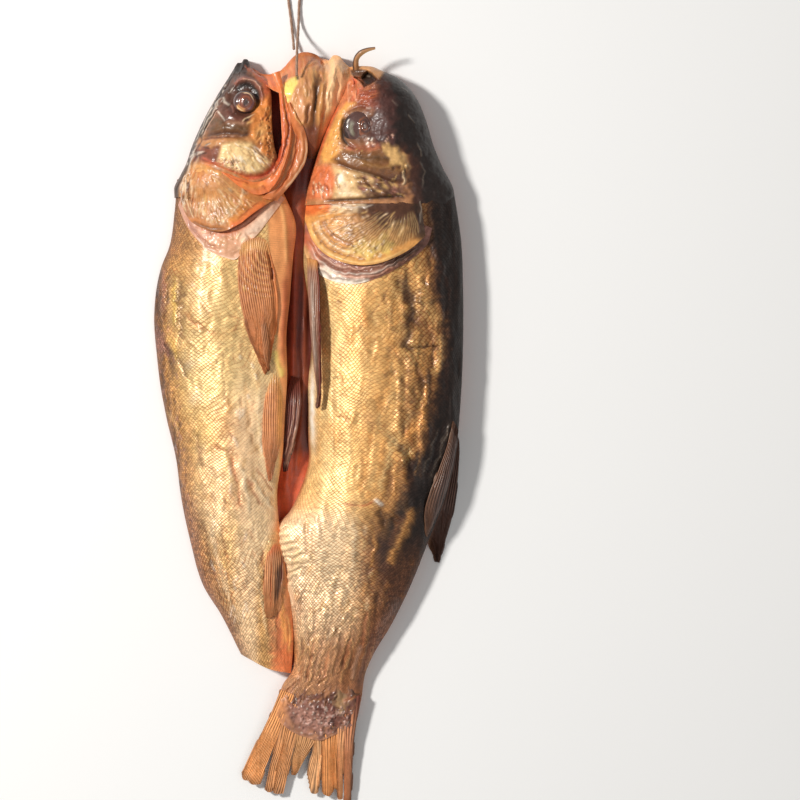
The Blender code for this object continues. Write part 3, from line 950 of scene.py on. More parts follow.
# Painted light: the belly side of the flank, which slopes away from the key light, is made paler and warmer.
left.tint(ease(0.55, 0.8, left.s) * 0.75, screen(252, 214, 150))
left.tint(ease(0.1, 1.3, noise(left.x, left.y / 1.6, 15, 24)) * 0.45, HONEY)
left.tint(ease(0.3, 1.4, noise(left.x, left.y / 1.4, 6, 25)) * 0.4, AMBER)
for x, y, wide, tall, colour, amount in (
        (-72, 118, 14, 9, HONEY, 0.35), (-57, 100, 6, 10, GOLD, 0.4), (-84, 96, 9, 16, TAN, 0.35),
        (-82, 78, 9, 5, HONEY, 0.5), (-66, 70, 10, 4, HONEY, 0.4), (-54, 76, 8, 5, GOLD, 0.5),
        (-90, 48, 6, 5, PALE, 0.6), (-84, 24, 5, 6, PALE, 0.6), (-77, 5, 7, 9, GOLD, 0.4),
        (-56, -14, 4, 4, PALE, 0.5), (-62, -30, 4, 12, GOLD, 0.3), (-90, -25, 6, 25, TAN, 0.4),
        (-96, -10, 3, 30, HONEY, 0.4), (-84, -75, 7, 20, TAN, 0.5), (-72, -110, 8, 22, TAN, 0.5),
        (-45, -113, 3.2, 3.4, AMBER, 0.9), (-42, -124, 2.5, 6, RUST, 0.35), (-56, -147, 6, 9, MAUVE, 0.5),
        (-38, -112, 7, 14, GOLD, 0.4), (-58, -120, 14, 12, TAN, 0.25), (-44, -165, 8, 9, HONEY, 0.5),
        (-46, -140, 9, 12, STRAW, 0.5), (-66, 45, 12, 20, CREAM, 0.35), (-33, 42, 5, 9, CREAM, 0.6)):
    left.blot((x, y), (wide, tall), colour=colour, amount=amount, ragged=0.25)
left.stroke([(-57, -18), (-52, -38), (-49, -60), (-47, -75)], 3.2, colour=ORANGE, amount=0.35, wobble=2)
left.stroke([(-40, -32), (-32, -45), (-26, -58), (-25, -72)], 2.8, colour=AMBER, amount=0.5, wobble=2)
left.stroke([(-34, -20), (-33, 10), (-31, 38)], 1.6, colour=RUST, amount=0.35)
left.patch([(-115.5, 80), (-108, 70), (-102, 55), (-112, 56), (-116, 62)], colour=MAUVE, amount=0.75,
           edge=2.5, ragged=2)
for x, top, bottom in ((-113, 118, 88), (-110.5, 108, 70), (-107, 114, 78), (-104.5, 46, 8),
                       (-109, 44, 22), (-100, 30, -30), (-96.5, 0, -60), (-92, -20, -78)):
    left.stroke([(x, top), (x - 0.6, (top + bottom) / 2), (x + 0.7, bottom)], 1.0, lift=-0.5, colour=UMBER,
                amount=0.45, wobble=1.2)
left.patch([(-105, 116), (-100, 116), (-97, 80), (-98, 68), (-103, 78)], colour=GOLD, amount=0.7,
           edge=3, ragged=3, lift=0.8)
left.stroke([(-96, 112), (-95, 95), (-95, 78), (-94.5, 62)], 2.2, lift=-0.9, colour=BROWN, amount=0.6,
            wobble=2.5)
left.stroke([(-99.5, 108), (-98.5, 95), (-98, 84)], 1.2, lift=-0.5, colour=UMBER, amount=0.4, wobble=2)
left.stroke([(-101, 62), (-96, 52), (-92, 44), (-88, 35)], 1.5, lift=-0.8, colour=UMBER, amount=0.55,
            wobble=1.5)
left.stroke([(-106, 66), (-102, 57), (-101, 51)], 1.6, lift=-0.5, colour=UMBER, amount=0.6, wobble=1)
left.stroke([(-94, 88), (-86, 82), (-78, 76), (-68, 70)], 1.7, lift=-0.5, colour=RUST, amount=0.5,
            wobble=1.6)
left.stroke([(-82, 98), (-76, 90), (-70, 82)], 1.3, lift=-0.3, colour=RUST, amount=0.4, wobble=1.2)
left.stroke([(-60, 85), (-52, 83), (-46, 80)], 0.8, colour=RUST, amount=0.45, wobble=0.8)
left.stroke([(-62.5, 62), (-63, 45), (-62, 30), (-61, 18)], 0.55, lift=-0.25, colour=BROWN, amount=0.5,
            wobble=0.8)
left.stroke([(-84, -2), (-81, -16), (-80, -32)], 1.4, lift=-0.6, colour=BROWN, amount=0.5, wobble=1.5)
for k in range(34):
    x, y = curve_at([(-57, -48), (-53.5, -62), (-49.5, -92), (-46, -112), (-41.5, -130), (-36, -162)], [k / 33])[0]
    left.stroke([(x, y), (x + 0.3, y - 1.8)], 0.5, lift=-0.2, colour=BROWN, amount=0.65)
left.stroke([(-38, -104), (-35, -98), (-33, -91)], 0.7, lift=-0.3, colour=BROWN, amount=0.55)
left.stroke([(-67.5, 50.6), (-67.5, 49.4)], 0.7, colour=BROWN, amount=0.9, taper=0)
left.stroke([(-40, 5.5), (-40, 4.5)], 0.6, colour=BROWN, amount=0.7, taper=0)
for step in range(9):
    x, y = -76 + 3.4 * step, -100 - 6.2 * step
    left.stroke([(x, y), (x + 4.5, y - 5), (x + 8, y - 11)], 0.8, lift=-0.25, colour=BROWN, amount=0.35)

# %% Left flank: belly keel
left.patch([(-20, 182), (-31, 176), (-28.5, 132), (-25.5, 112), (-24.5, 90), (-22.5, 68), (-24.5, 50),
            (-19.5, 30), (-20, 0), (-21, -20), (-20, -45), (-10, -45), (-8, 60), (-5, 182)],
           colour=screen(255, 172, 108), amount=0.95, edge=1.4, scaly=0.0, gloss=0.6)
left.stroke([(-17, 170), (-13, 150), (-13.5, 120), (-15.5, 90), (-17.5, 60)], 3.0, colour=CORAL, amount=0.5)
left.tint(ease(-30, -15, left.x + noise(left.x, left.y / 3, 4, 34)) * ease(-120, -150, left.y) * 0.7,
          ORANGE)
left.patch([(-31, -60), (-27.5, -60), (-27, -78), (-25, -92), (-20, -130), (-25, -142), (-26, -165),
            (-27, -182), (-8, -186), (-8, -120), (-14, -76), (-18, -60)],
           colour=screen(228, 126, 74), amount=0.75, edge=6.5, ragged=3, scaly=0.35, gloss=0.55)
left.stroke([(-29.5, 136), (-27.5, 124), (-25.5, 110), (-24.5, 90), (-22.5, 68)], 0.9, lift=-1.1,
            colour=RUST, amount=0.8)
left.stroke([(-17.5, 118), (-17.5, 95), (-18.5, 70), (-18, 45)], 2.6, lift=0.9, colour=CORAL, amount=0.5)
left.stroke([(-25.5, 60), (-22, 48), (-19, 38)], 2.6, lift=0.6, colour=YELLOW, amount=0.75, wobble=1,
            gloss=0.9)
left.stroke([(-21.5, 36), (-20, 20), (-20.5, 0), (-21.5, -18)], 1.2, colour=GOLD, amount=0.6)
left.stroke([(-22.5, 175), (-18, 160), (-16, 140), (-15.5, 120)], 1.6, lift=0.8, colour=GOLD, amount=0.4)
for x in (-23.5, -21, -18.5, -15.5):
    left.stroke([(x, -135), (x + 0.5, -155), (x + 0.8, -178)], 0.6, lift=-0.25, colour=RUST, amount=0.35,
                wobble=0.9)
left.patch([(-26, -168), (-12, -160), (-10, -184), (-28, -181)], colour=ORANGE, amount=0.6, edge=4, ragged=2)
ribbed = ease(1, 0.6, left.scaly) * ease(-60, -30, left.y)
left.z = left.z + ribbed * 0.16 * np.sin(left.y * 2 * math.pi / 1.5 + 2 * noise(left.x, left.y, 5, 33))
left.tone *= (1 + 0.10 * ribbed * np.sin(left.y * 2 * math.pi / 1.5 + 2))[..., None]

# Painted light and shade: the back side of the flank, which faces the key light, and the head end are darkened, and
# the middle, which turns away from the light, is lit with pale peach.
left.tone *= (1 - 0.24 * ease(-55, -92, left.x) * ease(-60, 0, left.y))[..., None]
left.tone *= (1 - 0.10 * ease(50, 85, left.y))[..., None]
shore = -19 - 15 * ease(-60, -110, left.y)
left.tint(ease(-64, -46, left.x) * ease(70, 0, left.y) * ease(shore, shore - 8, left.x) * 0.75,
          screen(255, 226, 184))
left.tint(ease(-80, -60, left.x) * ease(-30, -44, left.x) * ease(40, 10, left.y) * ease(-80, -40, left.y) * 0.35,
          screen(255, 206, 158))
for path, width, lift, colour, amount in (
        ([(-19.5, -122), (-19, -142), (-17, -164)], 2.0, 0.4, screen(246, 172, 92), 0.75),
        ([(-15.5, -136), (-14.5, -152), (-14, -170)], 1.2, 0.3, screen(250, 186, 104), 0.6),
        ([(-27.5, -122), (-27, -146), (-27, -172)], 2.4, -0.4, RUST, 0.45),
        ([(-23, -128), (-22.5, -150), (-21, -174)], 1.0, -0.4, RUST, 0.6),
        ([(-112, 120), (-113.5, 100), (-113, 80)], 1.6, -0.4, UMBER, 0.5),
        ([(-107.5, 124), (-108.5, 104), (-108, 84)], 1.5, 0.5, MAUVE, 0.5),
        ([(-104.5, 120), (-105, 104), (-105.5, 88)], 1.1, -0.5, UMBER, 0.5),
        ([(-100, 118), (-100.5, 98), (-100, 76)], 1.7, 0.5, screen(226, 192, 96), 0.6),
        ([(-110, 66), (-105, 58), (-102, 48), (-100, 38)], 2.4, -0.7, UMBER, 0.6),
        ([(-106, 70), (-101, 62), (-98, 52)], 1.6, 0.6, screen(214, 178, 92), 0.6)):
    left.stroke(path, width, lift=lift, colour=colour, amount=amount, wobble=1.4)
left.tint(ease(0.34, 0.04, left.s + 0.03 * noise(left.x, left.y / 3, 6, 46)) * ease(-30, -70, left.y) * 0.6,
          screen(140, 100, 78))
for path, width, lift, colour, amount in (
        ([(-58, -16), (-55, -30), (-52, -46), (-49, -62)], 1.7, -0.9, RUST, 0.6),
        ([(-51, -22), (-47, -38), (-44, -54), (-43, -66)], 1.8, 0.9, PALE, 0.85),
        ([(-62, -10), (-60, -26), (-57, -44)], 1.6, 0.7, CREAM, 0.6),
        ([(-42, -36), (-36, -44), (-30, -53), (-26, -62)], 1.7, 0.9, PALE, 0.85),
        ([(-45, -36), (-39, -48), (-33, -58)], 1.3, -0.7, RUST, 0.55),
        ([(-38, -28), (-31, -38), (-26, -48)], 1.2, -0.6, RUST, 0.55),
        ([(-70, -12), (-66, -15), (-60, -16), (-54, -14)], 1.2, -0.5, RUST, 0.45),
        ([(-37, 34), (-36, 10), (-35, -14)], 1.4, 0.5, PALE, 0.55),
        ([(-46, 40), (-45, 16), (-44, -8)], 1.2, -0.4, HONEY, 0.35),
        ([(-72, -60), (-70, -84), (-64, -110), (-57, -136)], 1.5, 0.6, PALE, 0.6),
        ([(-78, -66), (-75, -88), (-69, -112), (-62, -136)], 1.3, -0.6, BROWN, 0.5),
        ([(-64, -64), (-62, -84), (-58, -104)], 1.2, -0.5, TAN, 0.5),
        ([(-40, -90), (-37, -112), (-34, -134), (-32, -156)], 1.3, 0.5, PALE, 0.45),
        ([(-35, -84), (-32, -110), (-30, -136), (-29, -160)], 1.2, -0.6, RUST, 0.5)):
    left.stroke(path, width, lift=lift, colour=colour, amount=amount, wobble=1.4)
left.creases([(-104, 120), (-50, 126), (-36, 60), (-34, -20), (-60, -120), (-90, -60), (-108, 20)], 90, 16, 88,
             1.5, 0.35, (HONEY, CREAM, TAN, STRAW), 0.28, 330, spread=22)
left.creases([(-118, 120), (-108, 124), (-100, 60), (-92, -20), (-84, -90), (-96, -60), (-112, 10)], 90, 5, 84,
             0.8, 0.6, (UMBER, MAUVE, BROWN), 0.5, 331, spread=20, gloss=0.9)
left.creases([(-80, 90), (-46, 90), (-44, -10), (-76, -10)], 36, 6, 20, 0.45, 0.2, (RUST, BROWN), 0.4, 332,
             spread=50)
left.creases([(-60, 60), (-34, 60), (-28, -60), (-32, -160), (-50, -164), (-74, -100), (-60, -40)], 90, 9, 96,
             0.8, 0.4, (PALE, TAN, WHITE, RUST), 0.35, 344, spread=12)

# %% Left flank: wrinkles and scales
left.rough(9, 0.9, 41, stretch=3.0, mask=ease(0, 0.1, left.s) * ease(1, 0.85, left.s))
left.rough(2.6, 0.35, 42, stretch=6.0, mask=ease(0.3, 0.02, left.s))
left.rough(4.0, 0.25, 43, stretch=1.5)
left.mottle(9, 0.12, 44, stretch=2)
left.mottle(2.4, 0.14, 45, stretch=3)
left.contrast += 0.35 * ease(0.3, 0.05, left.s) + 0.4 * ease(-10, -110, left.y)
left.contrast -= 0.25 * ease(0.45, 0.7, left.s) * ease(60, 20, left.y) * ease(-130, -80, left.y)
add_scales(left, along, LEFT_SCALES[1], 0.24, 0.08)
flank_left = settle(body("flank_left", left, tuck=5), SCALED_SKIN)
lies_under(flank_left)

# %% [markdown]
# ## The right half
#
# The right half keeps the backbone, so it is thicker, and the tail. It runs from cream at the belly to
# gold and then, quite suddenly, to the nearly black back. Towards the tail it is narrow, brown and
# drawn into lengthwise wrinkles, and at the vent the belly skin is gathered into small folds.

# %% Right flank: form
RIGHT_KEEL = [(-2, 172, 12), (-3, 150, 11), (-4, 125, 10), (0, 97, 10), (2, 60, 10), (0, 35, 10),
              (-0.5, 0, 10), (0, -25, 11), (-6, -45, 13), (-14, -62, 14), (-25, -75, 15), (-24, -92, 15),
              (-19, -105, 15), (-18, -120, 15), (-13, -140, 14), (-10.5, -165, 12), (-12, -182, 9),
              (-19, -192, 7), (-23, -203, 6), (-30, -220, 4.5)]
RIGHT_BACK = [(109, 181, 18), (115, 140, 19), (116.4, 104, 19), (116.4, 67, 19), (114.5, 20, 18),
              (111, -16, 17), (104, -48, 15), (92, -80, 13.5), (76, -120, 12), (61, -150, 10),
              (50, -168, 9), (43, -184, 7.5), (40, -203, 6), (36.5, -220, 4.5)]
RIGHT_SCALES = (136, 42)

places, along = scale_rows(RIGHT_SCALES[0], 0.16)
right = Skin(RIGHT_KEEL, RIGHT_BACK, len(along), RIGHT_SCALES[1] * POINTS_ACROSS_SCALE + 1, crowd=0.85,
             colour=GOLD, places=places)
right.arch([43, 45.5, 46.5, 46.5, 46, 44, 41, 37, 32, 27, 20, 11], crest_at=0.46, fullness=0.62)
right.scaly[:] = 1.0

# %% Right flank: colour bands along it
sway = 1.8 * noise(right.x, right.y / 5, 7, 61) + 1.0 * noise(right.x, right.y / 4, 2.5, 62)
right.tint(ease(40, 4, right.x + sway) * ease(-60, -20, right.y), CREAM)
right.tint(ease(44, 60, right.x + sway) * 0.35, HONEY)
right.tint(ease(-55, -75, right.y) * ease(45, 15, right.x) * 0.8, PALE)
BACK_LINE = [(84, 200), (88, 160), (90, 130), (93, 100), (99.5, 85), (101, 60), (94, 40), (91, 10),
             (86, -13), (74, -24), (70, -45), (60, -60), (51, -70), (52, -100), (58, -120), (52, -148),
             (44, -172), (41, -196), (38, -222)]
BLACK_SIDE = BACK_LINE + [(60, -222), (140, -60), (140, 200)]
right.patch([(x - 16, y) for x, y in BACK_LINE] + BLACK_SIDE[-3:], colour=HONEY, amount=0.6, edge=9,
            ragged=4)
right.patch([(x - 8, y) for x, y in BACK_LINE] + BLACK_SIDE[-3:], colour=BROWN, amount=0.55, edge=6,
            ragged=4)
# Partly painted shade: the back is painted near black, its own dark skin together with the shade on the side that
# slopes away from the key light.
right.patch(BLACK_SIDE, colour=UMBER, amount=0.9, edge=5, ragged=2.5, gloss=0.4)
right.patch([(x + 4, y) for x, y in BACK_LINE] + BLACK_SIDE[-3:], colour=BLACK, amount=0.92, edge=5,
            ragged=2.5)
# Painted light and shade: the wrinkles along the edge of the black back get honey ridges and dark grooves.
for k in range(26):
    f = (k + 0.5) / 26
    x, y = curve_at(BACK_LINE, [0.12 + 0.75 * f])[0]
    x += 5 * math.sin(4.1 * k) - 3
    right.stroke([(x + 1, y + 13), (x - 1.5, y), (x, y - 15)], 1.9, lift=(0.6, -0.7)[k % 2],
                 colour=(HONEY, DARK)[k % 2], amount=(0.35, 0.6)[k % 2], wobble=2)
right.tint(ease(-120, -205, right.y) * 0.6, TAN)
right.tint(ease(8, 30, right.x) * ease(-138, -165, right.y) * 0.6, BROWN)
right.tint(ease(30, 46, right.x + sway) * ease(-75, -110, right.y) * 0.65, BROWN)
right.tint(ease(0.1, 1.3, noise(right.x, right.y / 1.8, 14, 64)) * ease(95, 60, right.x) * 0.45, HONEY)
right.tint(ease(0.3, 1.4, noise(right.x, right.y / 1.4, 6, 65)) * ease(95, 60, right.x) * 0.4, AMBER)
for x, y, wide, tall, colour, amount in (
        (28, 112, 14, 5, PALE, 0.9), (18, 62, 6, 26, CREAM, 0.7), (44, 75, 11, 22, HONEY, 0.55),
        (26, 0, 9, 9, HONEY, 0.55), (7, -15, 3.5, 12, HONEY, 0.6), (55, 86, 9, 14, GOLD, 0.4),
        (52, 20, 8, 12, HONEY, 0.4), (46, 8, 5, 5, TAN, 0.4), (36, 40, 10, 10, STRAW, 0.6),
        (20, -40, 12, 16, CREAM, 0.6), (64, 20, 5, 18, GOLD, 0.5), (42, -30, 3, 22, HONEY, 0.45),
        (58, -35, 6, 16, HONEY, 0.45), (12, -76, 4, 12, HONEY, 0.55), (20, -75, 3, 9, AMBER, 0.35),
        (-9, -115, 6, 9, PALE, 0.85), (3.5, -136, 3.2, 3.4, AMBER, 0.9), (-8, -132, 5, 9, ORANGE, 0.5),
        (14, -128, 8, 6, PALE, 0.8), (-2, -58, 12, 3, AMBER, 0.4), (3, -90, 3.5, 18, HONEY, 0.4),
        (18, -150, 10, 9, TAN, 0.4), (-5, -160, 4, 18, CREAM, 0.4), (34, -120, 8, 20, TAN, 0.35),
        (46, -95, 6, 16, BROWN, 0.4), (58, -86, 7, 14, DARK, 0.55), (55, -105, 5, 9, DARK, 0.5)):
    right.blot((x, y), (wide, tall), colour=colour, amount=amount, ragged=0.3)

# %% Right flank: bands and bruises by the back, with painted highlights and painted shade on its folds
# Painted light and shade: most ridges here are painted gold or honey and most grooves umber or dark, and the thin
# grey lines by the back fin are painted glints on its wrinkles.
for path, width, lift, colour, amount in (
        ([(66, 116), (73, 98), (77, 82), (73, 66), (70, 56)], 4.4, -1.8, UMBER, 0.9),
        ([(72, 122), (75, 105), (79, 88), (80, 72)], 3.2, -1.0, DARK, 0.75),
        ([(80, 136), (83, 112), (87, 96), (94, 84), (98, 74)], 4.0, 1.4, GOLD, 0.75),
        ([(98, 72), (100, 60), (98, 50), (93, 38)], 2.4, 1.0, GOLD, 0.7),
        ([(80, 84), (86, 78), (90, 70), (90, 62)], 4.0, -0.6, BROWN, 0.7),
        ([(68, 61), (80, 60), (92, 62), (101, 60)], 1.3, -1.2, UMBER, 0.8),
        ([(68, 56), (76, 55), (84, 57)], 2.2, 0.7, GOLD, 0.5),
        ([(84, 54), (82, 36), (79, 20), (80, 4)], 2.6, -0.9, UMBER, 0.6),
        ([(88, 50), (88, 30), (87, 12), (86, -2)], 2.0, 0.8, HONEY, 0.7),
        ([(92, 46), (91, 30), (90, 14)], 1.3, -0.6, DARK, 0.6),
        ([(77, 50), (75, 30), (75, 8), (72, -8)], 2.4, -0.6, BROWN, 0.5),
        ([(71, 40), (70, 20), (68, 4)], 1.8, 0.5, GOLD, 0.4),
        ([(61, 52), (60, 36), (56, 20), (50, 10)], 3.2, -0.7, HONEY, 0.5),
        ([(60, -4), (66, -10), (69, -17)], 3.4, -1.1, UMBER, 0.65),
        ([(70, -12), (74, -20), (79, -22)], 2.6, -0.9, DARK, 0.7),
        ([(70, -26), (76, -20), (80, -16)], 1.4, 0.8, STRAW, 0.6),
        ([(60, -22), (62, -40), (58, -52)], 2.4, -0.5, BROWN, 0.5),
        ([(66, -24), (66, -38), (63, -50)], 2.0, 0.4, HONEY, 0.4),
        ([(52, -60), (56, -66), (55, -74)], 3.4, -0.9, DARK, 0.6),
        ([(63, -68), (66, -66), (70, -70)], 3.0, -0.7, DARK, 0.6),
        ([(79, -56), (74, -72), (67, -88), (60, -104)], 3.0, 1.2, HONEY, 0.75),
        ([(73, -62), (66, -76), (60, -90)], 2.4, 0.4, BROWN, 0.5),
        ([(70, -124), (58, -146), (49, -163), (42, -180), (37, -200)], 3.6, 0.3, screen(140, 122, 116), 0.7),
        ([(86, 150), (96, 130), (104, 110), (108, 90)], 1.6, 0.5, UMBER, 0.4),
        ([(104, 60), (104, 40), (103, 20)], 1.4, 0.4, UMBER, 0.35),
        ([(109, 8), (102, -8), (97, -24), (91, -40)], 1.0, 0.8, GREY, 0.45),
        ([(103, 4), (97, -10), (92, -26), (88, -38)], 1.1, -0.7, DARK, 0.6),
        ([(98, 2), (94, -10), (90, -22), (86, -34)], 0.8, 0.6, GREY, 0.35),
        ([(84, -2), (86, -14), (83, -26), (80, -36)], 1.0, 0.6, OLIVE, 0.45),
        ([(62, -2), (61, -18), (57, -34), (52, -48)], 2.0, 0.7, CREAM, 0.5),
        ([(47, 2), (46, -18), (43, -36), (38, -50)], 1.8, -0.6, HONEY, 0.55),
        ([(30, 4), (31, -16), (30, -34), (27, -50)], 1.8, 0.5, CREAM, 0.5),
        ([(34, -64), (35, -86), (32, -108), (26, -130)], 1.6, 0.7, PALE, 0.6),
        ([(41, -64), (43, -86), (40, -108), (35, -128)], 1.5, -0.7, BROWN, 0.5),
        ([(26, -66), (27, -88), (24, -110), (18, -132)], 1.3, -0.5, TAN, 0.5),
        ([(48, -70), (50, -88), (47, -106)], 1.2, 0.6, HONEY, 0.5)):
    right.stroke(path, width, lift=lift, colour=colour, amount=amount, wobble=1.6)
for path, width, colour, amount in (
        ([(61, 108), (57, 98), (50, 88), (43, 80), (34, 68)], 0.6, BROWN, 0.6),
        ([(58, 112), (61, 116), (64, 121)], 0.7, BROWN, 0.6),
        ([(21.5, 96), (24, 94.5), (26, 94)], 1.1, BROWN, 0.8),
        ([(25, -55), (34, -56.5), (44, -56), (51, -53)], 0.9, RUST, 0.8),
        ([(30, -53.5), (38, -54.5), (46, -54)], 0.6, BROWN, 0.5),
        ([(42, 38), (47, 35.5), (54, 34)], 0.5, BROWN, 0.4),
        ([(20, 8.5), (26, 9), (31, 7)], 1.0, RUST, 0.5), ([(29, 6), (32, 6.5)], 1.1, BROWN, 0.7),
        ([(24.5, 62), (24, 40), (24.5, 20), (24, -4)], 0.5, TAN, 0.5),
        ([(19, 40), (19, 15), (19.5, -10), (19, -30)], 0.5, TAN, 0.35),
        ([(41, -10), (42, -25), (39, -42), (33, -50)], 1.8, HONEY, 0.4),
        ([(21, -62), (22, -80), (21, -98)], 0.5, TAN, 0.5)):
    right.stroke(path, width, lift=-0.35, colour=colour, amount=amount, wobble=0.7)
# Painted glint: a short white dash at the end of a wrinkle.
right.stroke([(51, -53), (55, -56)], 1.4, lift=1.0, colour=WHITE, amount=0.8, taper=0)
right.blot((84, 30), (9, 40), gloss=0.75)

# %% Right flank: the edge by the fold
# Painted highlight: the pale and white strokes along the edge stand for the glare where it turns to the key light.
right.stroke([(4.4, 64), (3.8, 40), (3.4, 20), (4, 0), (5, -30)], 3.0, lift=0.5, colour=PALE, amount=0.7,
             taper=0.3, scaly=0.4)
right.stroke([(4.2, 58), (3.6, 40), (3.2, 20), (3.4, 0), (4.4, -24)], 1.7, lift=0.4, colour=WHITE,
             amount=0.95, taper=0.45, scaly=0.1, gloss=0.6, wobble=0.8)
# Painted shadow and shade: the maroon patch stands for the shadow that the right breast fin casts on the flank, and
# the maroon line for the shade on the wall of the gap.
right.patch([(-8, 172), (2, 168), (4, 122), (12, 106), (14, 80), (12, 50), (9, 20), (6, 20), (1, 60),
             (-6, 100)], colour=MAROON, amount=0.35, edge=3)
right.stroke([(1, 118), (1.5, 90), (1.5, 60), (0.5, 40)], 1.6, colour=MAROON, amount=0.9)
right.stroke([(-0.5, 34), (-1, 5), (0, -25), (-6, -46), (-15, -64), (-24, -76)], 1.6, colour=RUST,
             amount=0.8)
VENT_FOLDS = ((-24, -73, 9, 2.0), (-27, -78, 13, 0.6), (-27, -83, 17, -1.0), (-25, -88, 19, 1.6),
              (-22.5, -93, 20, 2.6), (-20, -98, 22, 0.8), (-18.5, -104, 14, 5.0), (-18, -111, 8, 4.0))
for x, y, reach, rise in VENT_FOLDS:
    ridge = [(x - 1, y + 1), (x + 0.3 * reach, y - 1.4), (x + 0.65 * reach, y + 0.2 * rise),
             (x + reach, y + rise)]
    groove = [(px + 0.8, py - 2.3) for px, py in ridge]
    right.stroke(ridge, 1.4, lift=0.9, colour=CREAM, amount=0.6, scaly=0.5, wobble=1.4)
    right.stroke(groove, 0.9, lift=-0.8, colour=BROWN, amount=0.6, scaly=0.5, wobble=1.4)
    right.stroke([(x - 1, y - 1.4), (x + 4, y - 2.8)], 1.6, lift=-0.5, colour=RUST, amount=0.7)
right.stroke([(-19, -98), (-16, -112), (-13, -124), (-10, -134)], 2.0, lift=-0.6, colour=RUST, amount=0.7,
             scaly=0.2)
right.stroke([(-16.5, -106), (-15, -118), (-15.5, -124)], 1.8, lift=0.9, colour=AMBER, amount=0.7)
right.stroke([(-12, -134), (-10, -142), (-10, -160), (-10, -178)], 1.5, colour=AMBER, amount=0.6)
for x, top, bottom in ((-2, -66, -100), (3.5, -72, -104), (9, -62, -92), (-7, -128, -150)):
    right.stroke([(x, top), (x + 1.2, (top + bottom) / 2), (x + 0.5, bottom)], 1.1, lift=-0.6, colour=RUST,
                 amount=0.45, wobble=0.8)

# %% Right flank: the drawn-in root of the tail
for k in range(13):
    x = -8 + 4.1 * k + 1.2 * math.sin(5 * k)
    top = -118 - 34 * abs(math.sin(1.7 * k))
    end = -186 - 18 * abs(math.sin(2.3 * k))
    right.stroke([(x + 9, top), (x + 3, -168), (x - 3, end)], 0.8 + 0.9 * abs(math.sin(3.1 * k)), lift=-0.45,
                 colour=(UMBER, BROWN, RUST)[k % 3], amount=0.5, taper=0.35, scaly=0.7, wobble=0.9)
    right.stroke([(x + 11.2, top - 4), (x + 5.2, -172), (x - 0.8, end + 4)], 0.9, lift=0.35, colour=STRAW,
                 amount=0.3, taper=0.35, wobble=0.9)
right.creases([(-24, -190), (12, -184), (18, -206), (-28, -210)], 46, 9, 52, 0.6, 0.55, (UMBER, STRAW, BROWN),
              0.5, 337, spread=9)
right.tint(ease(-180, -198, right.y) * 0.35, screen(128, 86, 70))
right.tint(ease(-196, -212, right.y) * 0.5, MAUVE)
right.creases([(-6, -120), (36, -120), (34, -160), (34, -186), (-8, -186), (-4, -150)], 90, 11, 80, 0.7, 0.5,
              (STRAW, UMBER, CREAM, BROWN), 0.5, 345, spread=12)
right.stroke([(40, -160), (36, -174), (33.5, -190)], 1.6, lift=0.5, colour=screen(196, 170, 148), amount=0.8,
             wobble=1)
right.tint(ease(-125, -165, right.y) * 0.4, screen(182, 112, 66))

right.tint(ease(-40, -75, right.y) * ease(50, 20, right.x) * ease(-170, -140, right.y) * 0.5,
           screen(252, 226, 186))
right.creases([(6, 104), (70, 104), (84, 60), (76, -20), (40, -60), (2, -60)], 100, 16, 88, 1.5, 0.4,
              (HONEY, CREAM, AMBER, STRAW), 0.3, 333, spread=22)
right.creases([(56, 100), (92, 110), (90, 20), (74, -20), (56, 20)], 46, 11, 92, 1.6, 0.8, (BROWN, GOLD, UMBER),
              0.4, 334, spread=22)
right.creases([(-14, -70), (46, -60), (50, -120), (30, -160), (-8, -140)], 50, 12, 76, 1.2, 0.4,
              (HONEY, PALE, CREAM), 0.4, 335, spread=16)
right.tint(ease(0, 10, right.x) * ease(44, 30, right.x) * ease(-60, -80, right.y) * ease(-140, -110, right.y) * 0.35,
           screen(255, 232, 190))
right.creases([(10, 90), (60, 90), (60, -40), (6, -40)], 40, 5, 20, 0.45, 0.2, (RUST, BROWN), 0.45, 336,
              spread=50)

# %% Right flank: wrinkles and scales
by_back = ease(50, 80, right.x + 0.3 * right.y * ease(0, -150, right.y))
right.rough(10, 1.0, 81, stretch=3.0, mask=ease(0, 0.08, right.s) * ease(1, 0.9, right.s))
right.rough(13, 2.0, 88, stretch=2.5, mask=by_back * ease(1, 0.8, right.s))
right.rough(4.5, 1.1, 82, stretch=5.0, mask=by_back)
right.rough(2.2, 0.45, 83, stretch=5.0, mask=by_back)
right.rough(3.2, 0.4, 84, stretch=4.0, mask=ease(-130, -165, right.y))
right.mottle(9, 0.12, 85, stretch=2)
right.mottle(2.4, 0.13, 86, stretch=3)
right.tone *= np.clip(1 + 0.35 * noise(right.x, right.y / 5, 1.8, 87) * by_back, 0.1, 2)[..., None]
right.contrast += 0.35 * by_back + 0.45 * ease(-60, -120, right.y)
right.z -= 8 * ease(0.035, 0.0, right.t) * ease(96, 84, right.x)
right.scaly *= 1 - 0.6 * ease(-180, -205, right.y)
add_scales(right, along, RIGHT_SCALES[1], 0.24, 0.10)
flank_right = settle(body("flank_right", right, tuck=5), SCALED_SKIN)
lies_under(flank_right)

# %% [markdown]
# ## The left half of the head
#
# The skin of the head has no scales. It is dried tight on the skull: a dark socket round the eye, a
# band of bare skull below it, a cream cheek with wrinkles that fan out from the jaw, and an orange
# lip. The skull is near black where it was cut.

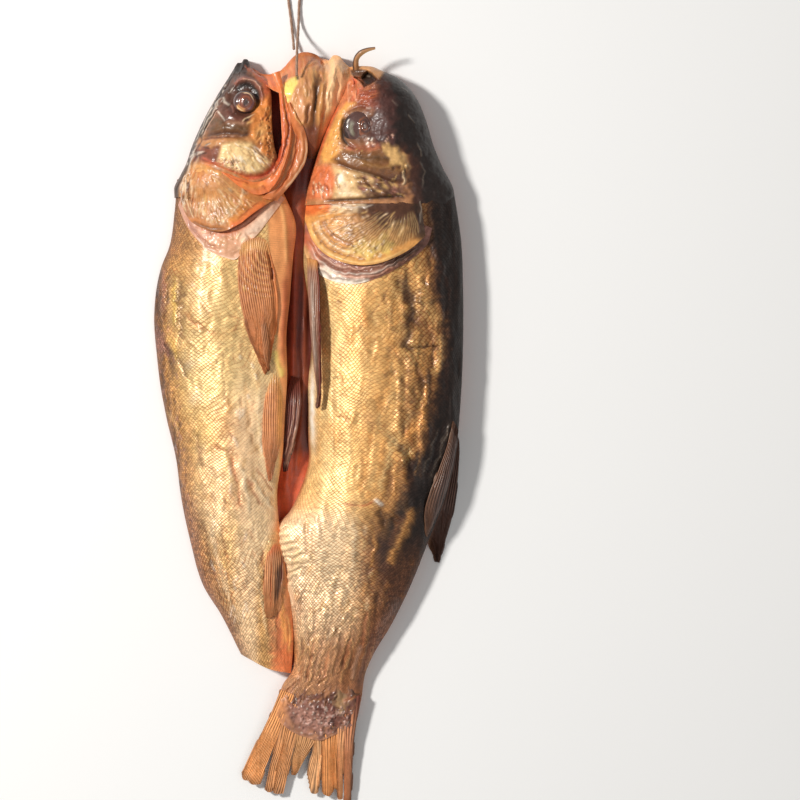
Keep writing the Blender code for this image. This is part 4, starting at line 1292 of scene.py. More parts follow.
# %% Left head: form
HEAD_LEFT_RIM = [(-53.5, 275.5, 9), (-57, 269.5, 10), (-61, 263, 10), (-68, 252, 10), (-76, 238, 9.5),
                 (-82, 226, 9), (-88, 212, 8.5), (-92, 200, 8), (-97, 190, 7.5), (-101, 182, 7),
                 (-101, 174, 7)]
HEAD_LEFT_MOUTH = [(-44, 273.5, 9), (-40, 268, 13), (-33, 263, 19), (-28, 254, 24), (-27, 240, 27),
                   (-26.5, 225, 28), (-25, 212, 28), (-22, 200, 27), (-22, 188, 24), (-26, 176, 20)]
head_l = Skin(HEAD_LEFT_RIM, HEAD_LEFT_MOUTH, 190, 130, crowd=0.7, colour=TAN,
              near=[(-53.5, 275.5), (-50, 275.7), (-48.5, 278), (-46, 278), (-44.3, 275.5), (-44, 273.5)])
head_l.arch([11, 24, 34, 37, 38.5, 37, 32.5], crest_at=0.53, fullness=0.6)

# %% Left head: skull, eye socket and lip
SKULL_LEFT = [(-50, 282), (-40, 277), (-43, 268), (-54, 262), (-63, 250), (-70, 240), (-79, 222),
              (-88, 214), (-94, 200), (-104, 190), (-92, 230), (-66, 268)]
head_l.tint(ease(0.9, 0.5, head_l.s) * ease(214, 226, head_l.y) * 0.8, screen(112, 72, 56))
head_l.patch([(-46, 268), (-38, 262), (-34, 250), (-36, 238), (-44, 229), (-62, 230), (-68, 238),
              (-62, 252), (-54, 264)], colour=screen(96, 60, 50), amount=0.9, edge=3, ragged=2)
head_l.patch(SKULL_LEFT, colour=screen(66, 52, 50), amount=0.9, edge=2.5, ragged=2.5)
head_l.patch([(-57, 268), (-52, 279), (-42, 280), (-44, 271), (-50, 269)], colour=BLACK, amount=0.9,
             edge=1.5, ragged=3, lift=1.2)
head_l.patch([(-46, 272), (-34, 268), (-24, 262), (-26, 248), (-29, 236), (-33, 246), (-35, 258),
              (-41, 266)], colour=screen(192, 98, 60), amount=0.95, edge=2, ragged=1.5, gloss=0.6)
head_l.patch([(-37, 268), (-24, 268), (-24, 256), (-30, 258)], colour=ORANGE, amount=0.7, edge=3)
head_l.blot((-48, 246), (13.5, 12.5), lift=-7.0, colour=UMBER, amount=0.85, turn=-15, hard=2.2, gloss=0.6)
for path, width, lift, colour, amount in (
        ([(-54, 251), (-50, 257), (-44, 257.5), (-39, 253), (-37, 246)], 2.4, -0.7, BLACK, 0.95),
        ([(-57, 256), (-50, 262), (-43, 262), (-37, 257), (-34, 250), (-35.5, 241)], 1.5, 1.6,
         screen(150, 92, 78), 0.8),
        ([(-50, 262), (-46, 261.5), (-40, 260), (-36, 256), (-34.5, 252)], 0.6, 0.8, PINK, 0.7),
        ([(-61, 252), (-58, 256), (-54, 258)], 2.2, 1.2, screen(84, 66, 60), 0.8),
        ([(-64, 249), (-62, 244.5), (-58, 242)], 0.8, 0.9, SILVER, 0.85),
        ([(-58, 243), (-56, 240), (-55, 236)], 0.8, 0.6, MAUVE, 0.8),
        ([(-60, 240), (-56, 234), (-50, 231.5), (-44, 233)], 3.0, 0.8, screen(98, 56, 46), 0.8),
        ([(-68, 238.5), (-64.5, 234), (-61, 230)], 0.6, 1.0, SILVER, 0.9),
        ([(-49, 229), (-46.5, 231.5), (-43, 233), (-38.5, 236.5)], 0.6, 1.0, PALE, 0.9),
        ([(-61, 229.5), (-56, 228), (-50, 227.5), (-46, 229)], 1.3, 0.8, screen(196, 150, 126), 0.75),
        ([(-46, 227.5), (-42, 229), (-38, 232.5)], 1.0, 0.8, STRAW, 0.7),
        ([(-72, 240), (-78, 226), (-82, 217)], 3.2, 0.8, screen(78, 66, 44), 0.8),
        ([(-76, 223), (-66, 224.5), (-54, 225), (-44, 224), (-40, 227)], 3.6, 1.4, screen(98, 68, 38), 0.9),
        ([(-74, 230), (-68, 231), (-63, 227)], 2.4, 0.5, screen(80, 64, 42), 0.75),
        ([(-79, 218.5), (-68, 220.3), (-54, 220.5), (-44, 219.5), (-40, 221)], 1.8, -1.4, UMBER, 0.9),
        ([(-81, 216), (-70, 217.3), (-56, 217.6), (-45, 217.4)], 1.0, -1.0, screen(96, 52, 32), 0.9)):
    head_l.stroke(path, width, lift=lift, colour=colour, amount=amount, wobble=0.5)
head_l.patch([(-40, 240), (-34, 246), (-29, 250), (-26, 232), (-26, 206), (-31, 203), (-38, 210),
              (-43, 218), (-42, 228)], colour=screen(222, 138, 66), amount=0.92, edge=3, lift=0.8)
head_l.blot((-35, 221), (4, 8), colour=GOLD, amount=0.7, turn=-20)
head_l.creases([(-40, 238), (-28, 246), (-26, 206), (-38, 212)], 26, 7, 68, 0.7, 0.5, (RUST, GOLD, BROWN),
               0.5, 301)
head_l.creases([(-31, 232), (-26, 232), (-25, 200), (-30, 204)], 40, 1.8, 40, 0.6, 0.7,
               (UMBER, STRAW, BROWN), 0.75, 302, spread=50)

# %% Left head: cheek
head_l.patch([(-84, 214), (-60, 216.5), (-42, 217.5), (-38, 211), (-60, 211), (-76, 209)],
             colour=screen(176, 124, 74), amount=0.85, edge=2, lift=0.8)
head_l.patch([(-88, 213), (-78, 211), (-66, 210), (-64, 204), (-68, 198), (-82, 199), (-90, 204)],
             colour=screen(112, 56, 42), amount=0.9, edge=2.5, ragged=2)
head_l.patch([(-63, 212), (-52, 214), (-42, 213), (-32, 203), (-27, 199), (-33, 192), (-46, 190),
              (-58, 194), (-67, 199)], colour=screen(244, 216, 158), amount=0.92, edge=2.5, lift=1.8, gloss=0.4)
head_l.creases([(-64, 210), (-50, 213), (-40, 212), (-27, 199), (-33, 192), (-46, 191), (-62, 197)], 70, 8,
               (-62, 219), 0.5, 0.4, (WHITE, HONEY, PALE, TAN), 0.5, 303, spread=7)
head_l.creases([(-38, 212), (-28, 200), (-34, 193), (-44, 204)], 16, 9, (-56, 224), 0.6, 0.6,
               (CREAM, BROWN, WHITE), 0.7, 304, spread=6, gloss=0.5)
head_l.creases([(-68, 204), (-56, 202), (-46, 196), (-42, 190), (-54, 191), (-66, 197)], 60, 2.2, -30, 0.55,
               0.6, (PALE, MAUVE, screen(170, 96, 78)), 0.65, 305, spread=60, gloss=0.8)
head_l.creases([(-88, 214), (-74, 213), (-76, 204), (-88, 204)], 16, 6, 15, 0.6, 0.6, (SILVER, BLACK), 0.7,
               306, gloss=0.8)
head_l.stroke([(-82, 200.5), (-75, 198), (-67, 195), (-58, 191.8), (-48, 188.8), (-42, 187.8), (-34, 189.2),
               (-27.5, 193.5), (-23, 201), (-21, 209)], 1.9, lift=-2.0, colour=CORAL, amount=0.92)
head_l.stroke([(-80, 203), (-70, 199.5), (-60, 195.5)], 0.9, lift=0.6, colour=screen(196, 96, 70),
              amount=0.7, wobble=0.6)
head_l.patch([(-92, 200), (-76, 198), (-60, 191), (-48, 188), (-40, 176), (-60, 170), (-100, 170)],
             colour=HONEY, amount=0.8, edge=3)

# %% Left head: the cut edge of the skull, and roughness
head_l.tint(ease(0.085, 0.03, head_l.s) * 0.9, BLACK)
# The silver lines along the cut edge, here and in the creases below, are painted glints.
for inset, start, end, width, lift, colour in (
        (1.6, 0.22, 0.62, 0.7, 0.6, SILVER), (3.0, 0.12, 0.40, 0.8, -0.8, BLACK),
        (4.2, 0.26, 0.52, 0.7, 0.8, SILVER), (5.6, 0.30, 0.70, 0.8, -0.7, BLACK),
        (6.8, 0.34, 0.56, 0.5, 0.6, PINK), (4.4, 0.60, 0.97, 0.9, 0.8, SILVER),
        (6.4, 0.62, 0.99, 0.9, -0.7, UMBER), (8.6, 0.66, 0.99, 1.0, 0.7, screen(190, 160, 130)),
        (2.4, 0.70, 0.99, 0.8, -0.6, BLACK), (10.6, 0.74, 0.99, 0.8, -0.5, BROWN)):
    path = [(x + inset * 0.95, y - inset * 0.35)
            for x, y in np.array(curve_at(HEAD_LEFT_RIM, np.linspace(start, end, 8)))[:, :2]]
    head_l.stroke(path, 0.8 * width, lift=lift, colour=colour, amount=0.6, wobble=1.3)
head_l.creases([(-60, 266), (-50, 270), (-58, 252), (-72, 236), (-92, 196), (-98, 190), (-84, 222)], 40, 4,
               62, 0.5, 0.6, (SILVER, BLACK, UMBER), 0.6, 307, gloss=0.8)
head_l.rough(3.0, 0.45, 91, stretch=1.4)
head_l.rough(1.2, 0.16, 92)
head_l.mottle(3.5, 0.16, 93)
head_l.mottle(1.3, 0.14, 94)
head_left = settle(body("head_left", head_l, tuck=2.5), BARE_SKIN)
lies_under(head_left)

# %% [markdown]
# ## The right half of the head
#
# This half faces away more. Its skull side is black, the eye is sunk and wrinkled, the snout is red
# and creased round the open nostril of the mouth, and a white gleam sits on the cheek.

# %% Right head: form
HEAD_RIGHT_MOUTH = [(31, 272, 13), (30.5, 262, 21), (27, 252, 24), (20, 238, 23), (13.5, 223, 21),
                    (8, 208, 18), (3, 194, 15), (-1, 180, 12), (-2.5, 168, 12)]
HEAD_RIGHT_RIM = [(57, 267.5, 12), (66, 264.5, 16), (74, 258, 18), (82, 247, 20), (88, 233, 20),
                  (94, 213, 20), (101, 196, 19), (109, 180, 18), (110, 168, 18)]
head_r = Skin(HEAD_RIGHT_MOUTH, HEAD_RIGHT_RIM, 190, 160, crowd=0.7, colour=TAN,
              near=[(31, 272), (40, 272.3), (50, 271.3), (57, 267.5)])
head_r.arch([18, 37, 44.5, 47.5, 47, 43.6], crest_at=0.48, fullness=0.6)

# %% Right head: black side, snout and eye
SKULL_LINE = [(47, 266), (52, 258), (50, 248), (50, 238), (47, 230), (47, 218), (56, 211), (66, 211),
              (74, 203), (77, 196), (75, 188), (76, 180), (79, 166)]
SKULL_SIDE = SKULL_LINE + [(80, 160), (130, 160), (110, 270), (60, 280), (54, 272)]
head_r.patch(SKULL_SIDE, colour=screen(62, 34, 30), amount=0.95, edge=2.5, ragged=2)
head_r.patch([(x + 7, y) for x, y in SKULL_SIDE], colour=BLACK, amount=0.92, edge=5, ragged=2)
head_r.patch([(31, 272.5), (50, 273.5), (58, 268), (54, 261), (50, 262), (44, 268), (34, 268)],
             colour=screen(204, 150, 98), amount=0.95, edge=1.2, lift=1.8)
# Painted shade: the open nostril is painted black and its rim dark; the grey line inside it is a painted glint.
head_r.patch([(35, 263.6), (40, 263), (42, 266), (44.5, 268.2), (48, 266), (51.8, 261.2), (47, 257.6),
              (42.5, 255.4), (39.5, 260)], lift=-7, colour=BLACK, amount=0.97, edge=0.9)
head_r.patch([(31.5, 269.5), (38, 270.3), (44, 269), (42, 265.5), (39.5, 263.2), (34.5, 263.4)], colour=DARK,
             amount=0.85, edge=1.0, lift=-1.2)
head_r.stroke([(43, 265.5), (45, 264.5), (47, 264)], 0.6, colour=GREY, amount=0.8)
head_r.patch([(28, 264), (38, 263), (43, 256), (50, 257), (54, 248), (51, 240), (42, 241), (36, 243),
              (26, 240), (24, 250)], colour=screen(210, 128, 88), amount=0.9, edge=2.5)
head_r.patch([(38, 256), (50, 256), (54, 248), (50, 240), (39, 243)], colour=screen(134, 62, 46),
             amount=0.8, edge=3.5, ragged=2)
head_r.patch([(37, 249), (48, 251), (52, 244), (46, 239), (38, 243)], colour=screen(176, 84, 50), amount=0.6,
             edge=3, ragged=1.5)
head_r.creases([(37, 256), (50, 257), (54, 248), (50, 241), (38, 243)], 34, 8, 12, 0.5, 0.45,
               (MAROON, screen(222, 146, 96), RUST, screen(190, 100, 66)), 0.5, 343, spread=9)
head_r.patch([(46, 262), (60, 264), (64, 240), (52, 238), (48, 248)], colour=screen(76, 42, 38), amount=0.6,
             edge=5, ragged=4)
head_r.creases([(28, 262), (37, 262), (38, 244), (28, 244)], 26, 8, 96, 0.7, 0.7,
               (screen(232, 166, 130), RUST, CORAL), 0.6, 311)
head_r.blot((40.5, 224), (16, 15.5), lift=-4.5, colour=screen(92, 60, 50), amount=0.9, hard=2.0)
# The white line above the eye is a painted glint.
for path, width, lift, colour, amount in (
        ([(29, 234), (26.3, 226), (27, 217), (31, 211), (37, 208.5)], 1.5, -1.6, BLACK, 0.95),
        ([(29.5, 236), (33, 239), (39, 240.5), (45, 240)], 1.2, 1.0, screen(150, 92, 66), 0.8),
        ([(43, 239.3), (45.5, 238.8), (48, 239.5)], 0.9, 0.8, WHITE, 0.85),
        ([(28, 211), (34, 207.5), (41, 206)], 1.1, 0.9, screen(206, 132, 104), 0.85),
        ([(44, 207.5), (50, 207.5), (56, 209)], 1.0, 0.6, screen(190, 110, 82), 0.7)):
    head_r.stroke(path, width, lift=lift, colour=colour, amount=amount, wobble=0.5)
head_r.patch([(45, 242), (52, 246), (64, 248), (66, 214), (56, 208), (46, 209), (48, 226)],
             colour=screen(82, 52, 48), amount=0.85, edge=4, ragged=3, gloss=0.2)
head_r.patch([(34, 244), (48, 246), (54, 240), (44, 236.5), (37, 239)], colour=screen(140, 72, 52), amount=0.6,
             edge=3)
head_r.patch([(30, 211), (42, 212), (52, 213), (58, 208), (44, 205.5), (32, 207)], colour=screen(146, 76, 52),
             amount=0.6, edge=2.5, ragged=2)
head_r.creases([(46, 218), (52, 234), (60, 226), (62, 212), (52, 208), (44, 212)], 24, 5, 20, 0.9, 0.2,
               (screen(100, 66, 60), DARK, screen(74, 44, 42)), 0.5, 312, spread=50)
# Painted glints: pink and white creases below the eye.
head_r.creases([(43, 217), (50, 217), (50, 211), (44, 211)], 10, 2.5, 30, 0.6, 0.7, (PINK, WHITE), 0.8, 319,
               spread=60, gloss=0.9)
head_r.creases([(57, 217), (64, 219), (62, 212), (57, 212)], 7, 2.5, 60, 0.6, 0.7, (PINK, MAUVE), 0.8, 329,
               spread=60, gloss=0.9)
head_r.patch([(29, 244), (22, 234), (15, 219), (9, 206), (12, 199), (22, 199), (24, 214), (24.5, 224),
              (27, 236), (36, 243)], colour=screen(232, 172, 92), amount=0.9, edge=2, lift=0.8)
head_r.stroke([(26, 246), (20, 236), (13.5, 221), (8.5, 206), (4, 193)], 1.5, lift=0.7,
              colour=screen(206, 100, 60), amount=0.9)
head_r.creases([(26, 238), (12, 206), (22, 200), (25, 220)], 22, 5, 66, 0.6, 0.5, (STRAW, RUST, HONEY), 0.5,
               313)
head_r.creases([(20, 214), (28, 212), (42, 207), (40, 203), (24, 205)], 24, 1.6, 30, 0.6, 0.6,
               (PALE, BROWN, STRAW), 0.7, 314, spread=60, gloss=0.8)

# %% Right head: cheek
head_r.patch([(18, 201), (27, 207), (44, 205.5), (58, 210), (68, 208), (76, 195), (73, 184), (62, 184),
              (50, 188), (38, 191.5), (24, 197)], colour=screen(112, 72, 40), amount=0.92, edge=2,
             lift=1.8)
head_r.patch([(24, 204), (40, 202), (56, 204), (62, 200), (40, 197), (26, 200)], colour=screen(150, 108, 58),
             amount=0.5, edge=3)
# Painted sheen: the pale gold patch at the end of the olive band.
head_r.patch([(57, 211), (66, 211), (72, 203), (76, 195), (69, 196), (62, 198)], colour=screen(236, 194, 128),
             amount=0.85, edge=3, ragged=2.5)
head_r.patch([(34, 193), (50, 190), (62, 188), (72, 192), (72, 183), (60, 183), (48, 187)], colour=UMBER,
             amount=0.8, edge=2.5)
head_r.stroke([(20, 199.5), (34, 193.2), (50, 188.4), (62, 184), (70, 181.5)], 1.3, lift=-1.8, colour=UMBER,
              amount=0.85)
head_r.stroke([(30, 203), (44, 200.5), (56, 201), (64, 198)], 1.8, lift=-0.7, colour=screen(70, 48, 30),
              amount=0.6, wobble=1)
head_r.stroke([(38, 198), (50, 195), (62, 194), (70, 190)], 1.6, lift=0.8, colour=OLIVE, amount=0.6, wobble=1)
# Painted glint: a pale line on the rim of the head.
head_r.stroke([(72, 193), (71.3, 188), (73, 184.5), (70, 181)], 0.7, lift=1.2, colour=PALE, amount=0.9)
head_r.creases([(64, 196), (74, 196), (70, 184), (60, 186)], 14, 5, 75, 0.6, 0.5, (STRAW, UMBER), 0.55, 315)
head_r.patch([(19, 196), (30, 192.5), (42, 190), (52, 186), (58, 180), (62, 173), (36, 171), (19, 172)],
             colour=screen(222, 188, 134), amount=0.92, edge=2.5, lift=1.2, gloss=0.4)
head_r.patch([(42, 187), (60, 185), (72, 181), (76, 172), (46, 172), (38, 178)], colour=screen(98, 64, 54),
             amount=0.85, edge=4, ragged=4)
head_r.creases([(36, 190), (52, 187), (70, 180), (72, 173), (52, 173), (38, 180)], 70, 6, -32, 0.7, 0.7,
               (BROWN, STRAW, DARK, MAUVE), 0.65, 316, spread=14, gloss=0.7)
# Painted glare: the pale patch and the white spot on the front of the cheek.
head_r.patch([(22, 190), (27, 191), (28, 184), (32, 178), (38, 174), (22, 172.5), (25, 180)], colour=PALE,
             amount=0.8, edge=2.5, gloss=0.5)
head_r.patch([(22.5, 189), (26, 190.5), (27, 185), (23.5, 183)], colour=WHITE, amount=0.85, edge=1.2, gloss=0.8)
head_r.stroke([(24.5, 191), (21.5, 188), (21, 184), (24, 181), (22, 178)], 0.9, lift=-0.8, colour=BROWN,
              amount=0.7)
head_r.patch([(2, 198), (16, 197), (21, 188), (20, 180), (17, 172), (-2, 172), (-1, 184)],
             colour=screen(214, 120, 76), amount=0.9, edge=2.5)
head_r.creases([(3, 185), (12, 184), (18, 180), (18, 173), (2, 173)], 30, 5, 104, 0.5, 0.6,
               (PALE, MAROON), 0.6, 317, spread=9, gloss=0.7)
head_r.creases([(4, 196), (16, 196), (16, 186), (2, 186)], 14, 6, 60, 0.7, 0.5, (ORANGE, RUST), 0.5, 318)
head_r.stroke([(10, 170.5), (25, 170.8), (40, 171.2), (55, 172.3), (66, 173.4), (76, 175)], 1.2, lift=-1.6,
              colour=DARK, amount=0.9)
# Painted glints: grey lines along the rim of the head.
for path in ([(70, 256), (73, 253.5), (76, 252)], [(75, 235), (78, 231), (79.5, 227)],
             [(81, 214), (84, 208), (85, 203)], [(84, 200), (86.5, 194), (86.5, 180)],
             [(63, 245), (65, 243), (67, 241)]):
    head_r.stroke(path, 0.5, lift=0.5, colour=GREY, amount=0.4, wobble=1.0, gloss=0.8)

# %% Right head: roughness
head_r.rough(3.0, 0.45, 95, stretch=1.4)
head_r.rough(1.2, 0.16, 96)
head_r.mottle(3.5, 0.16, 97)
head_r.mottle(1.3, 0.14, 98)
head_right = settle(body("head_right", head_r, tuck=3), BARE_SKIN)
lies_under(head_right)

# %% [markdown]
# ## Eyes
#
# Each eye is a flattened ball that has sunk and dried in rings. The ball starts as a sphere at its
# place. Its rings are low waves with a colour for each, from the pupil outwards.


# %% Eyes
def add_eye(name, centre, radius, height, pupil, narrow, tone, rings, bows_and_highlights):
    """A flattened ball. Rings lie round the pupil, and bows lie about the middle of the ball.

    A ring is its inner and outer radius, colour, amount and lift, and is drawn out along the fish
    where narrow is low. A bow is its heading and its half width in degrees, inner and outer
    radius, colour and amount. Some bows are painted highlights, and the rest give the eye its colours.
    """
    bpy.ops.object.select_all(action="DESELECT")
    bpy.ops.mesh.primitive_uv_sphere_add(segments=80, ring_count=48, radius=1)
    obj = bpy.context.object
    obj.name = name
    mesh = obj.data
    co = np.empty(len(mesh.vertices) * 3)
    mesh.vertices.foreach_get("co", co)
    co = co.reshape(-1, 3)
    x, y = co[:, 0], co[:, 1]
    uneven = 0.05 * noise(x * 8, y * 8, 3, 17) + 0.025 * noise(x * 8, y * 8, 1.2, 18)
    from_pupil = np.hypot(x - pupil[0], (y - pupil[1]) * narrow) + uneven
    r = np.hypot(x, y) + uneven
    around = np.degrees(np.arctan2(y, x))
    colour = np.zeros((len(co), 3)) + tone
    lift = 0.25 * noise(x * 8, y * 8, 2.0, 19)
    for inner, outer, ring_tone, amount, rise in rings:
        band = ease(inner - 0.03, inner + 0.03, from_pupil) * ease(outer + 0.03, outer - 0.03, from_pupil)
        colour += (ring_tone - colour) * (band * amount)[:, None]
        lift += rise * band
    for heading, half, inner, outer, bow_tone, amount in bows_and_highlights:
        off = np.abs((around - heading + 180) % 360 - 180)
        band = ease(half, 0.5 * half, off) * ease(inner - 0.03, inner + 0.03, r)
        band = band * ease(outer + 0.03, outer - 0.03, r)
        colour += (bow_tone - colour) * (band * amount)[:, None]
    lift *= ease(0.7, 0.3, x - pupil[0])
    z = co[:, 2] * height + np.where(co[:, 2] > -0.05, lift, 0)
    place = np.column_stack([x * radius + centre[0], y * radius + centre[1], z + centre[2]])
    mesh.vertices.foreach_set("co", (place * MM).ravel())
    layer = mesh.attributes.new("tone", "FLOAT_COLOR", "POINT")
    layer.data.foreach_set("color", np.hstack([colour, np.ones((len(co), 1))]).ravel())
    mesh.update()
    smooth_shade(obj)
    return settle(obj, DRIED_EYE)


# On the left eye the pale peach bow at the upper right is a painted highlight.
add_eye("eye_left", (-47.0, 244.2, 31.0), 8.7, 5.6, (0.14, -0.06), 0.85, screen(98, 58, 48),
        [(0.0, 0.20, screen(70, 56, 52), 0.9, -0.1), (0.20, 0.34, screen(110, 62, 50), 0.7, 0.3),
         (0.34, 0.52, screen(146, 80, 54), 0.8, 0.15), (0.52, 0.66, screen(106, 58, 50), 0.6, 0.3)],
        [(48, 62, 0.74, 0.82, screen(255, 214, 166), 0.95), (-122, 46, 0.50, 0.84, screen(214, 148, 92), 0.85),
         (-126, 36, 0.73, 0.80, screen(255, 222, 166), 0.9), (-20, 50, 0.66, 0.86, screen(128, 82, 90), 0.7),
         (160, 60, 0.62, 0.90, screen(70, 46, 44), 0.8), (0, 181, 0.87, 1.2, screen(42, 30, 30), 0.95)])
# On the right eye the white bow at the upper left is a painted highlight.
add_eye("eye_right", (39.5, 224.3, 37.0), 13.2, 5.2, (0.25, 0.09), 0.6, screen(88, 58, 52),
        [(0.0, 0.05, screen(190, 178, 172), 0.8, 0.0), (0.05, 0.12, screen(74, 54, 50), 0.9, -0.2),
         (0.12, 0.18, screen(156, 92, 62), 0.85, 0.4), (0.18, 0.24, screen(84, 56, 48), 0.8, -0.2),
         (0.24, 0.34, screen(150, 88, 58), 0.8, 0.4), (0.34, 0.40, screen(84, 58, 50), 0.8, -0.2)],
        [(185, 58, 0.42, 0.66, screen(116, 108, 88), 0.85), (188, 50, 0.52, 0.58, screen(150, 144, 122), 0.6),
         (190, 60, 0.66, 0.72, DARK, 0.8), (176, 46, 0.73, 0.82, screen(98, 84, 80), 0.7),
         (190, 70, 0.84, 1.1, BLACK, 0.8), (150, 12, 0.78, 0.84, WHITE, 0.8),
         (0, 96, 0.40, 1.1, screen(74, 46, 42), 0.95), (-62, 16, 0.66, 0.84, screen(150, 120, 112), 0.3)])

# %% [markdown]
# ## Shoulder bands and gill covers
#
# Behind the head a band of pale, pinkish skin covers the shoulder bone. The gill cover lies over it: a
# thin plate of bone whose ridges fan out from its upper corner. It stands a few millimetres off the
# shoulder at its rear edge, over a dark slit.


# %% A plate between a front and a rear curve
def plate_skin(front, rear, rows, columns, colour):
    """A skin whose rows run from a front curve to a rear curve."""
    return Skin([front[0], rear[0]], [front[-1], rear[-1]], rows, columns, near=front, far=rear, crowd=0.3,
                colour=colour)


# %% Left shoulder band
SHOULDER_LEFT = [(-98, 168), (-90, 151), (-83, 142), (-74, 133.5), (-63, 128.5), (-54, 126.5), (-46, 136),
                 (-36, 147), (-25, 162), (-17, 173)]
SLIT_LEFT = [(-95, 176), (-85, 161), (-75, 154), (-63, 153), (-52, 157), (-42, 163), (-33, 170),
             (-27, 175), (-24, 177)]
shoulder_l = plate_skin(SLIT_LEFT, SHOULDER_LEFT, 56, 150, screen(216, 170, 142))
shoulder_l.lay([0.9, 1.2, 1.4, 0.5], crown=0.4)
# Painted shade: the band darkens to rust and maroon towards the slit under the edge of the gill cover.
shoulder_l.tint(ease(0.55, 0.1, shoulder_l.t) * 0.85, RUST)
shoulder_l.tint(ease(0.28, 0.1, shoulder_l.t), MAROON)
shoulder_l.tint(ease(-70, -88, shoulder_l.x) * 0.55, MAUVE)
shoulder_l.patch([(-50, 140), (-40, 142), (-26, 158), (-22, 168), (-34, 160), (-46, 148)],
                 colour=screen(246, 222, 200), amount=0.75, edge=3, gloss=0.7)
shoulder_l.creases([(-92, 162), (-80, 142), (-64, 131), (-50, 132), (-40, 146), (-64, 146), (-82, 154)],
                   46, 7, (-62, 190), 0.8, 0.4, (screen(176, 128, 104), PALE, TAN), 0.55, 324, spread=70)
shoulder_l.patch([(-78, 140), (-60, 143), (-50, 138), (-54, 128), (-66, 130)], colour=TAN, amount=0.45,
                 edge=4)
shoulder_l.stroke([(-92, 160), (-84, 147), (-74, 138), (-64, 134)], 1.2, lift=-0.8, colour=MAUVE,
                  amount=0.7, wobble=1)
shoulder_l.stroke([(-84, 144), (-76, 136), (-66, 131.5)], 0.8, lift=0.6, colour=SILVER, amount=0.6,
                  wobble=1)
shoulder_l.stroke([(-70, 148), (-58, 147), (-46, 152), (-36, 161)], 0.8, lift=-0.7, colour=RUST,
                  amount=0.6)
shoulder_l.stroke([(-72, 128.5), (-62, 127), (-54, 125.5), (-50, 128)], 1.4, lift=0.3, colour=WHITE,
                  amount=0.7)
shoulder_l.tone *= 1.1
shoulder_l.rough(2.2, 0.3, 101)
shoulder_l.mottle(3, 0.12, 102)
shoulder_left = settle(leaf("shoulder_left", shoulder_l, 1.6), BARE_SKIN)
lies_under(shoulder_left)

# %% Left gill cover
GILL_LEFT_FRONT = [(-94, 188), (-86, 198), (-72, 199), (-56, 193), (-42, 188), (-30, 182), (-24, 177)]
GILL_LEFT_REAR = [(-96, 170), (-87.5, 155.5), (-76, 149), (-63, 147.5), (-52, 152), (-40, 161), (-26, 171)]
GILL_LEFT_APEX = (-80, 198)
gill_l = plate_skin(GILL_LEFT_FRONT, GILL_LEFT_REAR, 98, 145, screen(190, 124, 70))
gill_l.lay([-2.2, 0.6, 2.2, 3.0], crown=1.6, soften=14)
gill_l.patch([(-84, 194), (-70, 196), (-54, 182), (-58, 160), (-72, 156), (-84, 162), (-88, 176)],
             colour=screen(208, 142, 82), amount=0.6, edge=7, ragged=3)
gill_l.patch([(-98, 190), (-90, 194), (-88, 176), (-84, 160), (-92, 158)], colour=screen(150, 110, 84),
             amount=0.7, edge=3, ragged=2)
gill_l.creases([(-97, 190), (-89, 194), (-86, 168), (-94, 164)], 40, 7, 82, 0.6, 0.6, (SILVER, UMBER, PALE),
               0.6, 320, spread=10)
gill_l.patch([(-80, 200), (-60, 196), (-50, 186), (-60, 184), (-74, 192)], colour=TAN, amount=0.7, edge=4)
gill_l.patch([(-90, 172), (-84, 160), (-74, 152), (-64, 151), (-60, 158), (-72, 162), (-80, 172)],
             colour=TAN, amount=0.7, edge=4, ragged=3)
gill_l.blot((-72, 178), (8, 11), colour=AMBER, amount=0.4, ragged=0.4)
gill_l.blot((-60, 172), (7, 10), colour=STRAW, amount=0.5, ragged=0.4, turn=-30)
gill_l.creases([(-84, 168), (-60, 172), (-54, 158), (-66, 152), (-80, 158)], 50, 5, (-78, 205), 0.6, 0.35,
               (PALE, BROWN, STRAW), 0.5, 321, spread=8)
gill_l.patch([(-50, 190), (-27, 190), (-22, 178), (-36, 176), (-48, 180)], colour=ORANGE, amount=0.85,
             edge=3)
for k in range(46):
    f = 0.03 + 0.85 * k / 45
    end = curve_at(GILL_LEFT_REAR, [f])[0]
    way = end - GILL_LEFT_APEX
    start = GILL_LEFT_APEX + way * (0.16 + 0.1 * abs(math.sin(2.9 * k)))
    stop = GILL_LEFT_APEX + way * 0.94
    side = np.array([way[1], -way[0]]) * 0.03
    gill_l.stroke([start, (start + stop) / 2 + side, stop], 0.5, lift=-0.22, colour=(BROWN, RUST)[k % 2],
                  amount=0.3, wobble=0.7)
    if k % 2:
        gill_l.stroke([start + 0.6, (start + stop) / 2 + side + 0.6, stop + 0.6], 0.45, lift=0.2,
                      colour=CREAM, amount=0.35, wobble=0.7)
